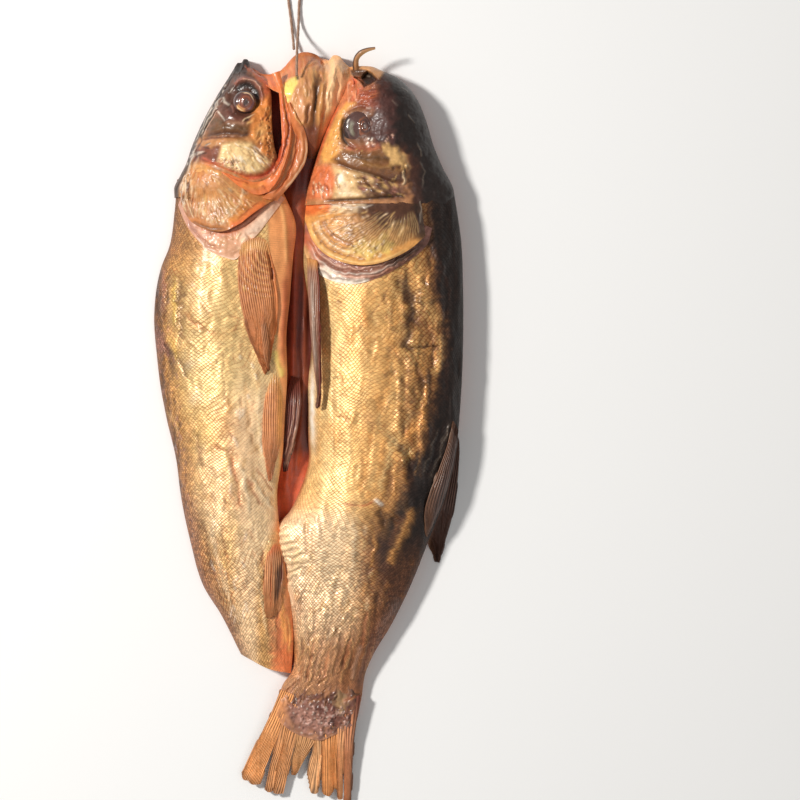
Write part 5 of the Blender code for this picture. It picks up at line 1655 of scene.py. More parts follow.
for path, width, lift, colour, amount in (
        ([(-91, 190), (-92, 178), (-89, 166), (-84, 157)], 0.7, 0.5, PALE, 0.55),
        ([(-94.5, 186), (-95.5, 176), (-93, 167)], 0.6, 0.5, SILVER, 0.6),
        ([(-88, 192), (-89.5, 180), (-87, 168)], 0.8, -0.6, UMBER, 0.5),
        ([(-57, 193), (-47.5, 180), (-51, 168), (-59, 158), (-67, 152)], 1.1, 0.5, PALE, 0.45),
        ([(-54, 190), (-45, 177.5), (-48, 166), (-56, 157)], 0.9, -0.5, BROWN, 0.4),
        ([(-44, 176), (-50, 162), (-60, 153)], 2.8, 0.6, AMBER, 0.6),
        ([(-60, 150), (-50, 154), (-40, 162), (-29, 170)], 2.6, 1.1, ORANGE, 0.9),
        ([(-88, 157), (-80, 151.5), (-70, 149.3), (-60, 149.2)], 1.4, 0.7, BROWN, 0.8),
        ([(-52, 156.5), (-43, 163.5), (-34, 171)], 0.6, -0.6, RUST, 0.6),
        ([(-86, 201), (-76, 200), (-68, 197)], 1.0, 0.4, RUST, 0.5)):
    gill_l.stroke(path, width, lift=lift, colour=colour, amount=amount, wobble=0.6)
for x, y in ((-66, 158), (-72, 155), (-60, 163), (-78, 162), (-69, 167), (-63, 155)):
    gill_l.blot((x, y), (1.4, 3.0), lift=0.3, colour=PALE, amount=0.6, turn=25, ragged=0.4)
gill_l.rough(1.6, 0.1, 103)
gill_l.creases([(-92, 188), (-56, 190), (-36, 172), (-60, 152), (-84, 160)], 70, 8, (-80, 204), 0.7, 0.3,
               (BROWN, PALE, RUST, STRAW), 0.4, 347, spread=6)
gill_l.tone *= 0.93
gill_l.mottle(3, 0.15, 104)
gill_l.mottle(1.2, 0.12, 105)
gill_left = settle(leaf("gill_cover_left", gill_l, 1.3), BONE_PLATE)
lies_under(gill_left)

# %% Right shoulder band
SHOULDER_RIGHT = [(-4, 148), (-3, 134), (3, 122), (12, 113.5), (22, 109.5), (35, 108), (50, 111.5),
                  (64, 118), (78, 127), (90, 139), (93, 150)]
SLIT_RIGHT = [(0, 160), (6, 143), (14, 134), (26, 128), (38, 125), (52, 126), (65, 131), (76, 138),
              (84, 146), (87, 152)]
shoulder_r = plate_skin(SLIT_RIGHT, SHOULDER_RIGHT, 56, 165, MAUVE)
shoulder_r.lay([1.0, 1.6, 1.7, 0.4], crown=0.3)
# Painted shade: the band darkens to maroon towards the slit under the edge of the gill cover.
shoulder_r.tint(ease(0.3, 0.08, shoulder_r.t), MAROON)
shoulder_r.patch([(-4, 150), (6, 140), (10, 128), (6, 118), (-4, 130)], colour=ORANGE, amount=0.5, edge=3)
shoulder_r.patch([(-6, 136), (-2, 138), (6, 122), (2, 116)], colour=CREAM, amount=0.7, edge=2)
shoulder_r.patch([(7, 121), (13, 122), (30, 112), (46, 112), (44, 107), (20, 107), (10, 111)],
                 colour=WHITE, amount=0.95, edge=1.5, gloss=0.9, lift=0.4)
for k in range(5):
    f = 0.34 + 0.13 * k
    inner, outer = np.array(curve_at(SLIT_RIGHT, np.linspace(0.08, 0.9, 7))), \
        np.array(curve_at(SHOULDER_RIGHT, np.linspace(0.08, 0.9, 7)))
    path = inner * (1 - f) + outer * f
    shoulder_r.stroke(path.tolist(), 0.9, lift=0.8 * (-1) ** k, colour=(PINK, BROWN, SILVER)[k % 3],
                      amount=0.65, wobble=1.2)
shoulder_r.patch([(56, 128), (70, 132), (84, 142), (92, 140), (78, 126), (64, 118)], colour=UMBER,
                 amount=0.75, edge=4, ragged=2)
shoulder_r.blot((64, 115), (4, 3), lift=0.8, colour=RUST, amount=0.7, ragged=0.5)
shoulder_r.rough(1.8, 0.5, 106)
shoulder_r.mottle(2.2, 0.2, 107)
shoulder_right = settle(leaf("shoulder_right", shoulder_r, 1.6), BARE_SKIN)
lies_under(shoulder_right)

# %% Right gill cover
GILL_RIGHT_FRONT = [(-1.5, 171), (12, 170), (25, 169.5), (40, 169.5), (55, 170.5), (66, 172), (76, 173.5),
                    (84, 174)]
GILL_RIGHT_REAR = [(-2.5, 157), (4, 140.5), (13, 130.5), (25, 124.5), (38, 121.8), (52, 122.8), (65, 127.5),
                   (78, 135), (88, 144)]
GILL_RIGHT_APEX = (77, 172)
gill_r = plate_skin(GILL_RIGHT_FRONT, GILL_RIGHT_REAR, 102, 165, HONEY)
gill_r.lay([-1.6, 1.2, 2.6, 3.2], crown=1.3, soften=12)
gill_r.tint(ease(0.10, 0.03, gill_r.t), DARK)
gill_r.tint(ease(15, 60, gill_r.x) * ease(136, 150, gill_r.y) * 0.8, screen(118, 78, 52))
gill_r.patch([(30, 172), (60, 172), (80, 174), (88, 150), (74, 144), (56, 150), (36, 160)], colour=UMBER,
             amount=0.95, edge=6, ragged=3)
gill_r.patch([(78, 175), (90, 176), (90, 140), (80, 142)], colour=BLACK, amount=0.85, edge=3)
gill_r.patch([(12, 168), (34, 169), (44, 166), (30, 160), (14, 163)], colour=PALE, amount=0.8, edge=3,
             ragged=2)
gill_r.patch([(30, 132), (44, 126), (58, 130), (66, 136), (58, 143), (42, 140)], colour=YELLOW * 0.85,
             amount=0.6, edge=4, ragged=3)
gill_r.patch([(-4, 174), (19, 172), (16, 162), (4, 160), (-4, 160)], colour=ORANGE, amount=0.9, edge=2.5)
gill_r.patch([(60, 150), (74, 152), (80, 146), (70, 140), (60, 143)], colour=HONEY, amount=0.5, edge=4,
             ragged=3)
gill_r.creases([(2, 168), (36, 166), (30, 150), (12, 138), (2, 150)], 60, 6, (70, 176), 0.6, 0.3,
               (PALE, BROWN, HONEY), 0.45, 322, spread=8)
gill_r.creases([(30, 140), (66, 140), (60, 128), (38, 125)], 40, 3, 60, 0.6, 0.4, (WHITE, BROWN, HONEY),
               0.5, 323, spread=60)
for k in range(52):
    f = 0.14 + 0.82 * k / 51
    end = curve_at(GILL_RIGHT_REAR, [f])[0]
    way = end - GILL_RIGHT_APEX
    start = GILL_RIGHT_APEX + way * (0.2 + 0.12 * abs(math.sin(2.3 * k)))
    stop = GILL_RIGHT_APEX + way * (0.86 - 0.1 * ease(0.5, 0.1, f))
    side = np.array([way[1], -way[0]]) * -0.03
    gill_r.stroke([start, (start + stop) / 2 + side, stop], 0.5, lift=-0.28, colour=(UMBER, BROWN)[k % 2],
                  amount=0.42, wobble=0.7)
    if k % 2:
        gill_r.stroke([start - 0.6, (start + stop) / 2 + side - 0.6, stop - 0.6], 0.45, lift=0.25,
                      colour=CREAM, amount=0.28, wobble=0.7)
for inset, width, lift, colour, amount in (
        (0.08, 1.2, 0.5, GOLD, 0.7), (0.13, 0.7, -0.6, BROWN, 0.6), (0.20, 1.5, 0.5, PALE, 0.5),
        (0.26, 0.6, -0.5, BROWN, 0.5), (0.34, 1.6, 0.4, MAUVE, 0.55), (0.39, 0.6, -0.4, UMBER, 0.4)):
    middle = np.array([34.0, 166.0])
    path = [middle + (p - middle) * (1 - inset) for p in curve_at(GILL_RIGHT_REAR, np.linspace(0.02, 0.5, 7))]
    gill_r.stroke(path, width, lift=lift, colour=colour, amount=amount, wobble=0.5)
gill_r.stroke([(-1, 158), (5, 142), (13, 132.5), (25, 126.5), (38, 123.6), (52, 124.6), (65, 129), (78, 136.5)],
              1.2, lift=0.7, colour=STRAW, amount=0.75, wobble=0.4)
gill_r.stroke([(12, 168), (25, 166.5), (38, 166), (50, 167)], 0.9, lift=0.7, colour=SILVER, amount=0.6,
              wobble=1.5)
# Painted highlight: a grey line on the edge of the plate where it stands out into the light.
gill_r.stroke([(83, 172), (85, 163), (84.5, 152)], 0.7, lift=0.3, colour=GREY, amount=0.6, wobble=1)
for x, y in ((10, 139), (47, 136), (51, 134), (37.5, 140), (56, 137), (26, 167)):
    gill_r.blot((x, y), (0.9, 1.2), lift=-0.3, colour=BROWN, amount=0.8)
gill_r.rough(1.6, 0.1, 108)
gill_r.creases([(6, 164), (60, 164), (76, 150), (60, 130), (24, 128), (6, 146)], 70, 8, (77, 172), 0.7, 0.3,
               (UMBER, PALE, BROWN, STRAW), 0.45, 346, spread=5)
gill_r.mottle(3, 0.18, 109)
gill_r.mottle(1.2, 0.14, 110)
gill_right = settle(leaf("gill_cover_right", gill_r, 1.3), BONE_PLATE)
lies_under(gill_right)

# %% [markdown]
# ## The hood of the lower jaws
#
# Both lower jaws meet in the middle, above the fold. Their dried skin makes a hood with a rolled rim,
# folded deeply down its middle. Near the hole for the twine the skin is so thin that light shines
# through, and that glow is painted in yellow.

# %% Hood: form
HOOD_RIM = [(-44, 272.5), (-40, 268.3), (-33, 267), (-26, 267.2), (-20, 270), (-15, 276), (-10, 281),
            (-5, 283.3), (2, 283), (7, 281), (11, 277.5), (15, 277), (19, 281), (24, 280), (27, 275.5),
            (31, 272)]
HOOD_LEFT = [(-44, 272.5, 9), (-38, 264, 17), (-29, 256.5, 25), (-20, 252, 29), (-16.5, 243, 30),
             (-14.5, 232, 29), (-9, 222, 27), (-2, 213, 22), (0, 203, 15)]
HOOD_RIGHT = [(31, 272, 12), (31.5, 262, 21), (27, 251, 24), (21.5, 239, 24), (15.5, 226, 22),
              (10.5, 214, 17), (6, 203, 11)]
hood = Skin(HOOD_LEFT, HOOD_RIGHT, 165, 150, near=HOOD_RIM, crowd=0.35, colour=screen(222, 158, 104))
hood.arch([8, 25, 34.5, 36.5, 36, 32, 26, 17], crest_at=0.47, fullness=0.75)

# %% Hood: folds
hood.patch([(-50, 276), (-24, 274), (-20, 262), (-22, 250), (-34, 252)], colour=ORANGE, amount=0.85, edge=5)
hood.patch([(-20, 272), (-6, 285), (8, 285), (12, 275), (2, 271), (-8, 264), (-18, 262)],
           colour=screen(206, 120, 70), amount=0.85, edge=1.2, lift=-0.7)
hood.creases([(-12, 262), (10, 272), (12, 240), (-12, 236)], 46, 9, 96, 0.8, 0.25, (STRAW, BROWN, TAN), 0.3,
             325, spread=14)
hood.creases([(12, 276), (30, 272), (20, 236), (13, 236)], 40, 9, 98, 0.8, 0.3, (PALE, RUST, STRAW), 0.35,
             326, spread=10)
# Painted light: the yellow window is the glow of light through the thin skin by the twine hole, and the dark spot in
# the hole is painted shade.
hood.patch([(-19, 257), (-13, 262.5), (-7, 263.5), (-7.5, 258), (-11.5, 250), (-15, 243), (-18.5, 250)],
           colour=YELLOW, amount=0.97, edge=1.3, lift=-0.8, gloss=0.8)
hood.stroke([(-17.5, 249), (-14, 247.5), (-12, 250)], 1.0, colour=AMBER, amount=0.6)
hood.stroke([(-7.6, 263.5), (-7.4, 262)], 1.3, lift=-1.6, colour=DARK, amount=0.95, taper=0)
hood.stroke([(-6, 266), (0, 272), (8, 277)], 1.4, lift=0.9, colour=HONEY, amount=0.5)
# In the first rows below, the grooves down the middle fold are painted umber, dark and maroon: painted shade in the
# fold.
for path, width, lift, colour, amount in (
        ([(9, 268), (8, 256), (6.5, 244), (5, 232), (3.5, 220)], 2.4, -5.0, UMBER, 0.9),
        ([(7, 258), (6, 246), (4.5, 236)], 1.0, -1.6, DARK, 0.8),
        ([(2.5, 244), (0.5, 236), (-1, 228)], 1.2, -2.4, MAROON, 0.8),
        ([(4.5, 252), (3, 240), (1.5, 228)], 1.1, 2.0, TAN, 0.8),
        ([(-0.5, 243), (-2, 234), (-3, 226)], 1.3, 1.8, TAN, 0.8),
        ([(12, 262), (11, 248), (9, 236), (7, 222)], 1.5, 2.2, HONEY, 0.8),
        ([(15, 268), (14, 252), (12.5, 240), (10.5, 228)], 1.2, -2.4, RUST, 0.85),
        ([(19.5, 279), (18.5, 262), (17, 248), (16, 232)], 2.9, 2.6, screen(248, 206, 152), 0.95),
        ([(23, 279), (23, 266), (24.5, 256), (24, 246)], 1.2, 1.0, AMBER, 0.8),
        ([(22, 272), (23, 260), (22, 250), (19, 240)], 1.3, -1.8, CORAL, 0.8),
        ([(26, 270), (27, 262), (25.5, 254), (22, 244)], 1.6, 1.4, ORANGE, 0.6),
        ([(14, 276), (16, 268), (19, 258)], 1.0, 0.8, PINK, 0.5),
        ([(11, 276), (9, 268), (9, 262)], 1.1, -1.4, RUST, 0.5),
        ([(-8, 258), (-6, 246), (-5, 234), (-3, 226)], 2.0, 1.2, screen(216, 148, 96), 0.6),
        ([(-2, 268), (0, 256), (0, 246)], 1.2, -0.9, BROWN, 0.4),
        ([(4, 270), (4.5, 260), (3, 252)], 0.9, 0.8, STRAW, 0.4),
        ([(-12, 240), (-9, 232), (-5, 228), (-2, 230)], 1.0, 0.9, STRAW, 0.6),
        ([(-12, 244), (-11, 234), (-6, 226)], 0.9, -1.0, BROWN, 0.6)):
    hood.stroke(path, 1.3 * width, lift=0.55 * lift, colour=colour, amount=0.85 * amount, wobble=0.7)
hood.patch([(-4, 226), (10, 228), (8, 200), (-4, 200)], colour=MAROON, amount=0.85, edge=4)
for k in range(26):
    f = k / 25
    x, y = curve_at(HOOD_RIM, [0.1 + 0.82 * f])[0]
    hood.stroke([(x, y - 1), (x * 0.86 - 0.4, y - 8), (x * 0.74, y - 16 - 4 * math.sin(k))], 0.6,
                lift=0.35 * (-1) ** k, colour=(RUST, STRAW)[k % 2], amount=0.2, wobble=0.9)
hood.stroke(HOOD_RIM, 1.3, lift=0.8, colour=screen(196, 118, 74), amount=0.5, taper=0)
hood.tint(ease(11, 17, hood.x) * ease(232, 246, hood.y) * 0.6, screen(255, 212, 164))
hood.tone *= (1 - 0.12 * ease(12, 6, hood.x) * ease(-14, -8, hood.x))[..., None]
hood.rough(3.2, 0.3, 111, stretch=4)
hood.mottle(4, 0.10, 112, stretch=2)
hood.mottle(1.6, 0.10, 113, stretch=3)
jaw_hood = settle(body("jaw_hood", hood, tuck=2), BARE_SKIN)
lies_under(jaw_hood)

# %% [markdown]
# ## Left jaw and gill membranes
#
# The lower jaw of the left half is an orange strap. It runs down beside the dark slit of the mouth and
# bends in under the cheek. Two folds of gill membrane lie outside it and curve over the fold.


# %% Straps
def strap_skin(inner, outer, least, lift, rows, columns, colour, crown=1.5, soften=3):
    """A rounded band of skin along two edges, laid on what is under it but no lower than least."""
    skin = Skin(inner, outer, rows, columns, crowd=0.5, colour=colour)
    skin.lay(lift, least=least, crown=crown, soften=soften)
    return skin


jaw = strap_skin([(-27, 266), (-22.5, 256), (-20.5, 240), (-19.5, 224), (-19, 211), (-21, 200), (-28, 188.5),
                  (-38, 184.5), (-50, 187), (-60, 191), (-70, 195.5)],
                 [(-21, 268), (-18.4, 256), (-15, 240), (-12, 225), (-13, 210), (-17, 195), (-25, 180),
                  (-37, 175), (-49, 180), (-60, 188), (-70, 194.5)],
                 [26, 29, 30, 30.5, 31, 31, 30, 30, 30], [0.3, 1.2, 1.6, 1.8, 2.0, 2.0, 1.4, 0.4, -2.0], 170, 32,
                 screen(228, 128, 72), crown=1.1)
for path, width, lift, colour, amount in (
        ([(-19.5, 258), (-16.5, 240), (-14, 224), (-17, 208), (-22, 196), (-28, 184)], 0.9, -1.3, MAROON, 0.85),
        ([(-21, 254), (-18.5, 238), (-17.5, 222), (-18.5, 208), (-24, 193)], 1.2, 0.6, CORAL, 0.6),
        ([(-19.5, 256), (-17, 240), (-16, 226)], 0.8, 0.5, HONEY, 0.6),
        ([(-30, 184), (-40, 180.5), (-50, 182.5)], 2.2, 0.5, AMBER, 0.5),
        ([(-34, 182), (-31, 178), (-30, 175)], 0.8, -0.7, RUST, 0.7),
        ([(-62, 191), (-52, 186), (-42, 183)], 0.7, -0.5, RUST, 0.5)):
    jaw.stroke(path, width, lift=lift, colour=colour, amount=amount, wobble=0.6)
jaw.rough(2, 0.25, 114)
jaw.mottle(3, 0.14, 115)
jaw_left = settle(leaf("jaw_left", jaw, 4.0), BARE_SKIN)
lies_under(jaw_left)

membrane = strap_skin([(-15.5, 243), (-14, 236), (-12.5, 224), (-14.5, 207), (-19, 193), (-25, 182), (-34, 172.5)],
                      [(-12.5, 244), (-8.5, 235), (-2.5, 224), (0, 211), (-2, 199), (-8, 189), (-23, 170.5)],
                      [29, 28, 27, 27, 27, 28, 29], [0.0, 0.6, 1.0, 1.4, 1.6, 1.6, 0.8], 140, 42,
                      screen(196, 118, 70), crown=1.8)
for path, width, lift, colour, amount in (
        ([(-9, 226), (-8, 212), (-11, 198), (-18, 184), (-26, 174)], 0.8, -1.4, RUST, 0.8),
        ([(-5.5, 224), (-3.5, 212), (-5.5, 200), (-11, 189)], 1.4, 1.0, screen(222, 150, 100), 0.8),
        ([(-12, 224), (-11.5, 210), (-15, 196), (-21, 184)], 1.3, 0.8, TAN, 0.6),
        ([(-1.5, 220), (-0.8, 210), (-3, 199), (-9, 189), (-18, 178)], 0.8, 0.3, PALE, 0.6),
        ([(-11, 240), (-7, 230), (-4, 226)], 0.9, 0.7, STRAW, 0.5)):
    membrane.stroke(path, width, lift=lift, colour=colour, amount=amount, wobble=0.6)
membrane.rough(2.5, 0.3, 116, stretch=2)
membrane.mottle(3, 0.12, 117, stretch=2)
membrane_left = settle(leaf("gill_membrane_left", membrane, 2.2), BARE_SKIN)
lies_under(membrane_left)

# %% [markdown]
# ## Fins
#
# Every fin is a leaf that is laid on the body and follows it. Its rays are ridges from the base to the
# edge, and each of them forks once on the way. Growth leaves bows across the base of the breast fin.


# %% Rays
def add_rays(skin, count, height, light, dark, amount=0.7, fork=0.6, seed=1):
    """Ridges along a skin, each of which forks at the given part of its length."""
    u = skin.s * count + 0.22 * noise(skin.x, skin.y / 3, 5, seed)
    forked = ease(fork - 0.12, fork + 0.12, skin.t)
    ray = np.abs(np.sin(math.pi * u)) * (1 - forked) + np.abs(np.sin(2 * math.pi * u)) * forked
    skin.z = skin.z + height * (ray - 0.5)
    skin.tint((1 - ray) ** 2 * amount, dark)
    skin.tint(ray ** 3 * amount * 0.6, light)


def fin(name, left, right, count, lift, tone, light, dark, rows=120, columns=80, least=None, crown=0.6,
        near=None, far=None, height=0.5, amount=0.7, fork=0.6, seed=1, soften=2, base=None):
    """A fin that lies on the pieces below it. Gives its skin back before it is a piece."""
    skin = Skin(left, right, rows, columns, near=near, far=far, crowd=0.2, colour=tone)
    skin.lay(lift, least=least, crown=crown, soften=soften)
    add_rays(skin, count, height, light, dark, amount, fork, seed)
    if base is not None:
        skin.tint(ease(0.22, 0.0, skin.t + 0.05 * noise(skin.x, skin.y, 4, seed)) * 0.9, base)
    skin.mottle(5, 0.12, seed + 200, stretch=2)
    skin.mottle(1.3, 0.16, seed + 201, stretch=14)
    return skin


# %% Left breast fin
breast_l = fin("breast_fin_left",
               [(-50.5, 137), (-52, 120), (-51, 102), (-47.5, 84), (-42.5, 67), (-37.5, 54), (-31.5, 41)],
               [(-30, 141), (-27, 128), (-24, 112), (-22, 98), (-22.5, 84), (-25.5, 66), (-29, 50)],
               17, [-0.4, 1.2, 1.8, 1.4, 0.9], screen(204, 130, 82), screen(244, 180, 120),
               screen(120, 62, 40), rows=135, columns=100, crown=1.4, amount=0.95, fork=0.55, seed=3,
               near=[(-50.5, 137), (-44, 141), (-37, 143), (-30, 141)],
               far=[(-31.5, 41), (-30.5, 43), (-29, 50)])
breast_l.tint(ease(0.75, 1.0, breast_l.s) * 0.75, screen(226, 138, 76))
breast_l.tint(ease(0.35, 0.0, breast_l.s) * 0.5, screen(160, 100, 66))
for k in range(13):
    r = 5.0 + 2.3 * k
    bow = [(-29 + r * math.cos(a) * 0.9, 131 + r * math.sin(a))
           for a in np.linspace(math.radians(168), math.radians(285), 9)]
    breast_l.stroke(bow, 0.7, lift=(0.4, -0.3)[k % 2], colour=(STRAW, BROWN)[k % 2],
                    amount=0.45 - 0.025 * k, wobble=0.5)
breast_l.patch([(-52, 140), (-30, 142), (-28, 132), (-38, 134), (-50, 130)], colour=GOLD, amount=0.6, edge=3)
breast_l.stroke([(-27, 121), (-26.2, 116), (-26.8, 111)], 1.1, lift=-1.6, colour=MAROON, amount=0.9)
breast_l.stroke([(-30, 134), (-28.5, 127), (-27, 120)], 0.7, lift=-0.8, colour=BROWN, amount=0.8)
breast_l.stroke([(-47, 85), (-42, 66), (-36, 52)], 1.4, colour=BROWN, amount=0.6)
breast_l.blot((-47, 105), (0.9, 2.2), lift=0.4, colour=STRAW, amount=0.8)
breast_left = settle(leaf("breast_fin_left", breast_l, 0.9), FIN_RAYS)
lies_under(breast_left)

second_l = fin("breast_fin_left_rear", [(-35, 84), (-34.4, 70), (-32, 56), (-29.4, 43)],
               [(-31.8, 86), (-29.6, 72), (-28.4, 60), (-28.6, 44)], 4, [-0.5, 0.6, 0.9, 0.5],
               screen(180, 116, 76), screen(226, 168, 118), screen(96, 54, 38), rows=66, columns=30, seed=5,
               amount=0.85, base=screen(200, 126, 78))
settle(leaf("breast_fin_left_rear", second_l, 0.8), FIN_RAYS)

# %% Right breast fin, a blade that stands off the body
BLADE_OUTER = [(-0.5, 128, 25), (-0.2, 112, 29), (0.8, 92, 33), (2.5, 68, 35.5), (5, 44, 36.5),
               (7, 26, 36), (6.4, 15.5, 35)]
BLADE_INNER = [(6.5, 126, 33), (8.6, 112, 38), (9.2, 92, 42), (9.4, 68, 43.5), (9.6, 44, 43), (9.8, 30, 41),
               (8.4, 17, 38.5)]
blade = Skin(BLADE_OUTER, BLADE_INNER, 140, 38, crowd=0.2, colour=screen(138, 94, 74))
blade.arch([28, 34, 39, 41, 41.5, 40, 36], crest_at=0.45, fullness=0.7)
add_rays(blade, 7, 0.6, screen(196, 170, 152), screen(96, 52, 40), amount=0.8, fork=0.4, seed=7)
# Partly painted shade: the inner half of the blade, turned from the key light, is painted dark red over the fin's
# own colour.
blade.tint(ease(0.72, 0.95, blade.s) * 0.9, screen(104, 40, 24))
blade.stroke([(3, 116), (4, 90), (5, 64), (7, 40)], 1.2, lift=0.4, colour=SILVER * 0.9, amount=0.5)
blade.tint(ease(0.1, 0.0, blade.t) * 0.8, HONEY)
blade.mottle(3, 0.14, 207, stretch=3)
settle(leaf("breast_fin_right", blade, 1.3), FIN_RAYS)

# %% Belly fins
belly_l = fin("belly_fin_left",
              [(-31, 36), (-32.5, 20), (-33.5, 4), (-32.8, -12), (-30.5, -28), (-28.5, -39)],
              [(-19.5, 40), (-19, 22), (-19.2, 6), (-20, -10), (-23.5, -22), (-27.4, -37)],
              9, [-1.6, 0.3, 1.2, 1.2, 0.6], screen(208, 138, 90), screen(242, 184, 124),
              screen(140, 80, 52), rows=120, columns=66, crown=1.0, seed=9, base=GOLD,
              near=[(-30, 44), (-27, 50), (-23.5, 53), (-20, 46)])
belly_l.tint(ease(0.55, 0.95, belly_l.s) * ease(0.8, 0.5, belly_l.t) * 0.8, screen(244, 178, 96))
belly_l.tint(ease(0.5, 0.9, belly_l.t) * 0.2, PINK)
belly_left = settle(leaf("belly_fin_left", belly_l, 0.9), FIN_RAYS)
lies_under(belly_left)

# Partly painted shade: the right belly fin lies in the shaded gap and is painted dark red-brown, its own colour
# darkened, and darker still at its base.
belly_r = Skin([(-13, 40, 13), (-17, 22, 18.5), (-17.8, 6, 19.5), (-18.6, -10, 20), (-18.4, -22, 19.5),
                (-17.5, -32, 18.5)],
               [(-6.5, 38, 14), (-5, 20, 21), (-6.5, 6, 22), (-9.5, -8, 22), (-13, -20, 21),
                (-16.5, -31, 19)], 110, 54, crowd=0.2, colour=screen(88, 38, 30))
belly_r.arch([14, 21, 23, 23.5, 22.5, 20], fullness=0.7)
add_rays(belly_r, 7, 0.6, screen(150, 92, 74), screen(52, 24, 22), amount=0.8, seed=11)
for x in (-12, -8.5):
    belly_r.stroke([(x + 1.5, 28), (x + 1, 10), (x - 2, -6), (x - 5, -24)], 0.5, lift=0.5, colour=PINK,
                   amount=0.5, wobble=0.6)
belly_r.stroke([(-8, 4), (-11, -8), (-14.5, -20), (-17, -30)], 1.1, lift=0.4, colour=PINK, amount=0.5)
belly_r.tint(ease(0.3, 0.05, belly_r.t) * 0.9, MAROON)
belly_right = settle(leaf("belly_fin_right", belly_r, 1.2), FIN_RAYS)
lies_under(belly_right)

# %% Vent fin and back fin
vent = fin("vent_fin",
           [(-28.5, -86), (-31.5, -98), (-32.6, -112), (-32.3, -128), (-31, -141)],
           [(-22.5, -80), (-18.5, -96), (-18.2, -112), (-20, -126), (-24, -141)],
           9, [-1.4, 0.6, 1.4, 1.2, 0.8], screen(196, 134, 90), screen(232, 178, 124), screen(110, 58, 44),
           rows=96, columns=66, least=[20, 22, 21, 18, 15], crown=0.8, seed=13,
           far=[(-31, -141), (-28, -141.5), (-25, -140), (-24, -141)])
vent.tint(ease(0.28, 0.0, vent.t) * 0.9, ORANGE)
for x, top, bottom, width, colour in ((-22.4, -98, -134, 1.3, DARK), (-20.6, -96, -126, 0.9, UMBER),
                                      (-24.4, -104, -137, 0.6, UMBER), (-27.6, -92, -139, 0.4, RUST),
                                      (-19.4, -90, -118, 0.8, MAROON)):
    vent.stroke([(x + 0.6, top), (x, (top + bottom) / 2), (x - 0.6, bottom)], width, lift=-0.5,
                colour=colour, amount=0.9, taper=0.3, wobble=0.5)
vent_fin = settle(leaf("vent_fin", vent, 1.2), FIN_RAYS)
lies_under(vent_fin)

BACK_FIN_BASE = [(108.5, 6), (105, -10), (98, -30), (91, -48), (87.5, -62), (88.5, -78), (96, -100)]
BACK_FIN_EDGE = [(112.5, -2), (113.6, -16), (113, -34), (110.5, -54), (107, -72), (102, -88), (98, -101)]
back = fin("back_fin", BACK_FIN_BASE, BACK_FIN_EDGE, 11, [0.3, 1.2, 1.6, 1.6, 1.2, 0.6],
           screen(72, 50, 44), screen(142, 108, 94), screen(26, 19, 18), rows=120, columns=78, crown=1.0,
           amount=0.9, seed=15, height=0.7)
# Painted glint: the silver line along the fin's base, on a wrinkle.
back.stroke([(108, 1), (101, -16), (94, -36), (89, -50)], 0.8, lift=0.7, colour=SILVER, amount=0.8,
            wobble=0.7)
back.tint(ease(0.45, 0.0, back.s) * 0.2, TAN)
back_fin = settle(leaf("back_fin", back, 1.0), FIN_RAYS)
lies_under(back_fin)

# %% [markdown]
# ## Tail
#
# The tail fin has dried and split into strips. Seven strips start under a dark, wrinkled patch on the
# root of the tail. Their ends are worn off unevenly, and some of them are notched.

# %% Tail strips
TAIL_BED = [12.5, 11, 9.5, 8.2, 7.0, 6.0, 5.2]
TAIL_STRIPS = (
    ([(-21, -196), (-26, -209), (-33, -224), (-41.5, -242), (-50, -260)],
     [(-10, -200), (-15, -213), (-20.5, -227), (-27.5, -243), (-37, -268)],
     [(-50, -260), (-49, -264.5), (-45, -265.5), (-43, -267.8), (-37, -268)], 7, (212, 150, 94)),
    ([(-15, -206), (-20, -222), (-24, -236), (-28.5, -252), (-33, -272)],
     [(-4, -208), (-6.5, -222), (-10, -238), (-14, -254), (-19, -275)],
     [(-33, -272), (-30, -274), (-27.8, -273.5), (-26.8, -269.5), (-25.8, -274.6), (-19, -275)], 7,
     (194, 138, 90)),
    ([(-7, -210), (-8.5, -224), (-11, -238), (-13, -250), (-12.2, -260.5)],
     [(6, -208), (7, -222), (4.5, -236), (-2.5, -247), (-9.8, -260)],
     [(-12.2, -260.5), (-11.5, -261), (-9.8, -260)], 5, (190, 142, 96)),
    ([(0, -208), (2.6, -222), (4, -238), (0, -252), (-1.2, -259)],
     [(12, -208), (12, -222), (11.5, -236), (10.6, -250), (9.8, -262)],
     [(-1.2, -259), (0.4, -267), (3, -275), (6, -275), (7.6, -268), (9.8, -262)], 5, (210, 160, 112)),
    ([(9, -208), (9.6, -222), (10, -238), (10, -254), (10.2, -273)],
     [(25, -206), (23.5, -222), (22, -238), (21.2, -254), (21, -272)],
     [(10.2, -273), (12.5, -276), (15.5, -277), (18, -274), (19.4, -270.5), (21, -272)], 6,
     (206, 142, 86)),
    ([(20, -206), (21, -222), (21.8, -238), (22, -254), (22.3, -277)],
     [(31, -206), (29, -222), (27.2, -238), (26, -254), (25.6, -279)],
     [(22.3, -277), (23.4, -279.5), (25.6, -279)], 3, (196, 142, 98)),
    ([(26, -204), (26.6, -222), (27, -238), (27, -254), (27.2, -281)],
     [(39.5, -200), (37, -216), (34.6, -234), (33.3, -254), (31.8, -283)],
     [(27.2, -281), (28.8, -283.3), (31.8, -283)], 4, (184, 126, 90)))
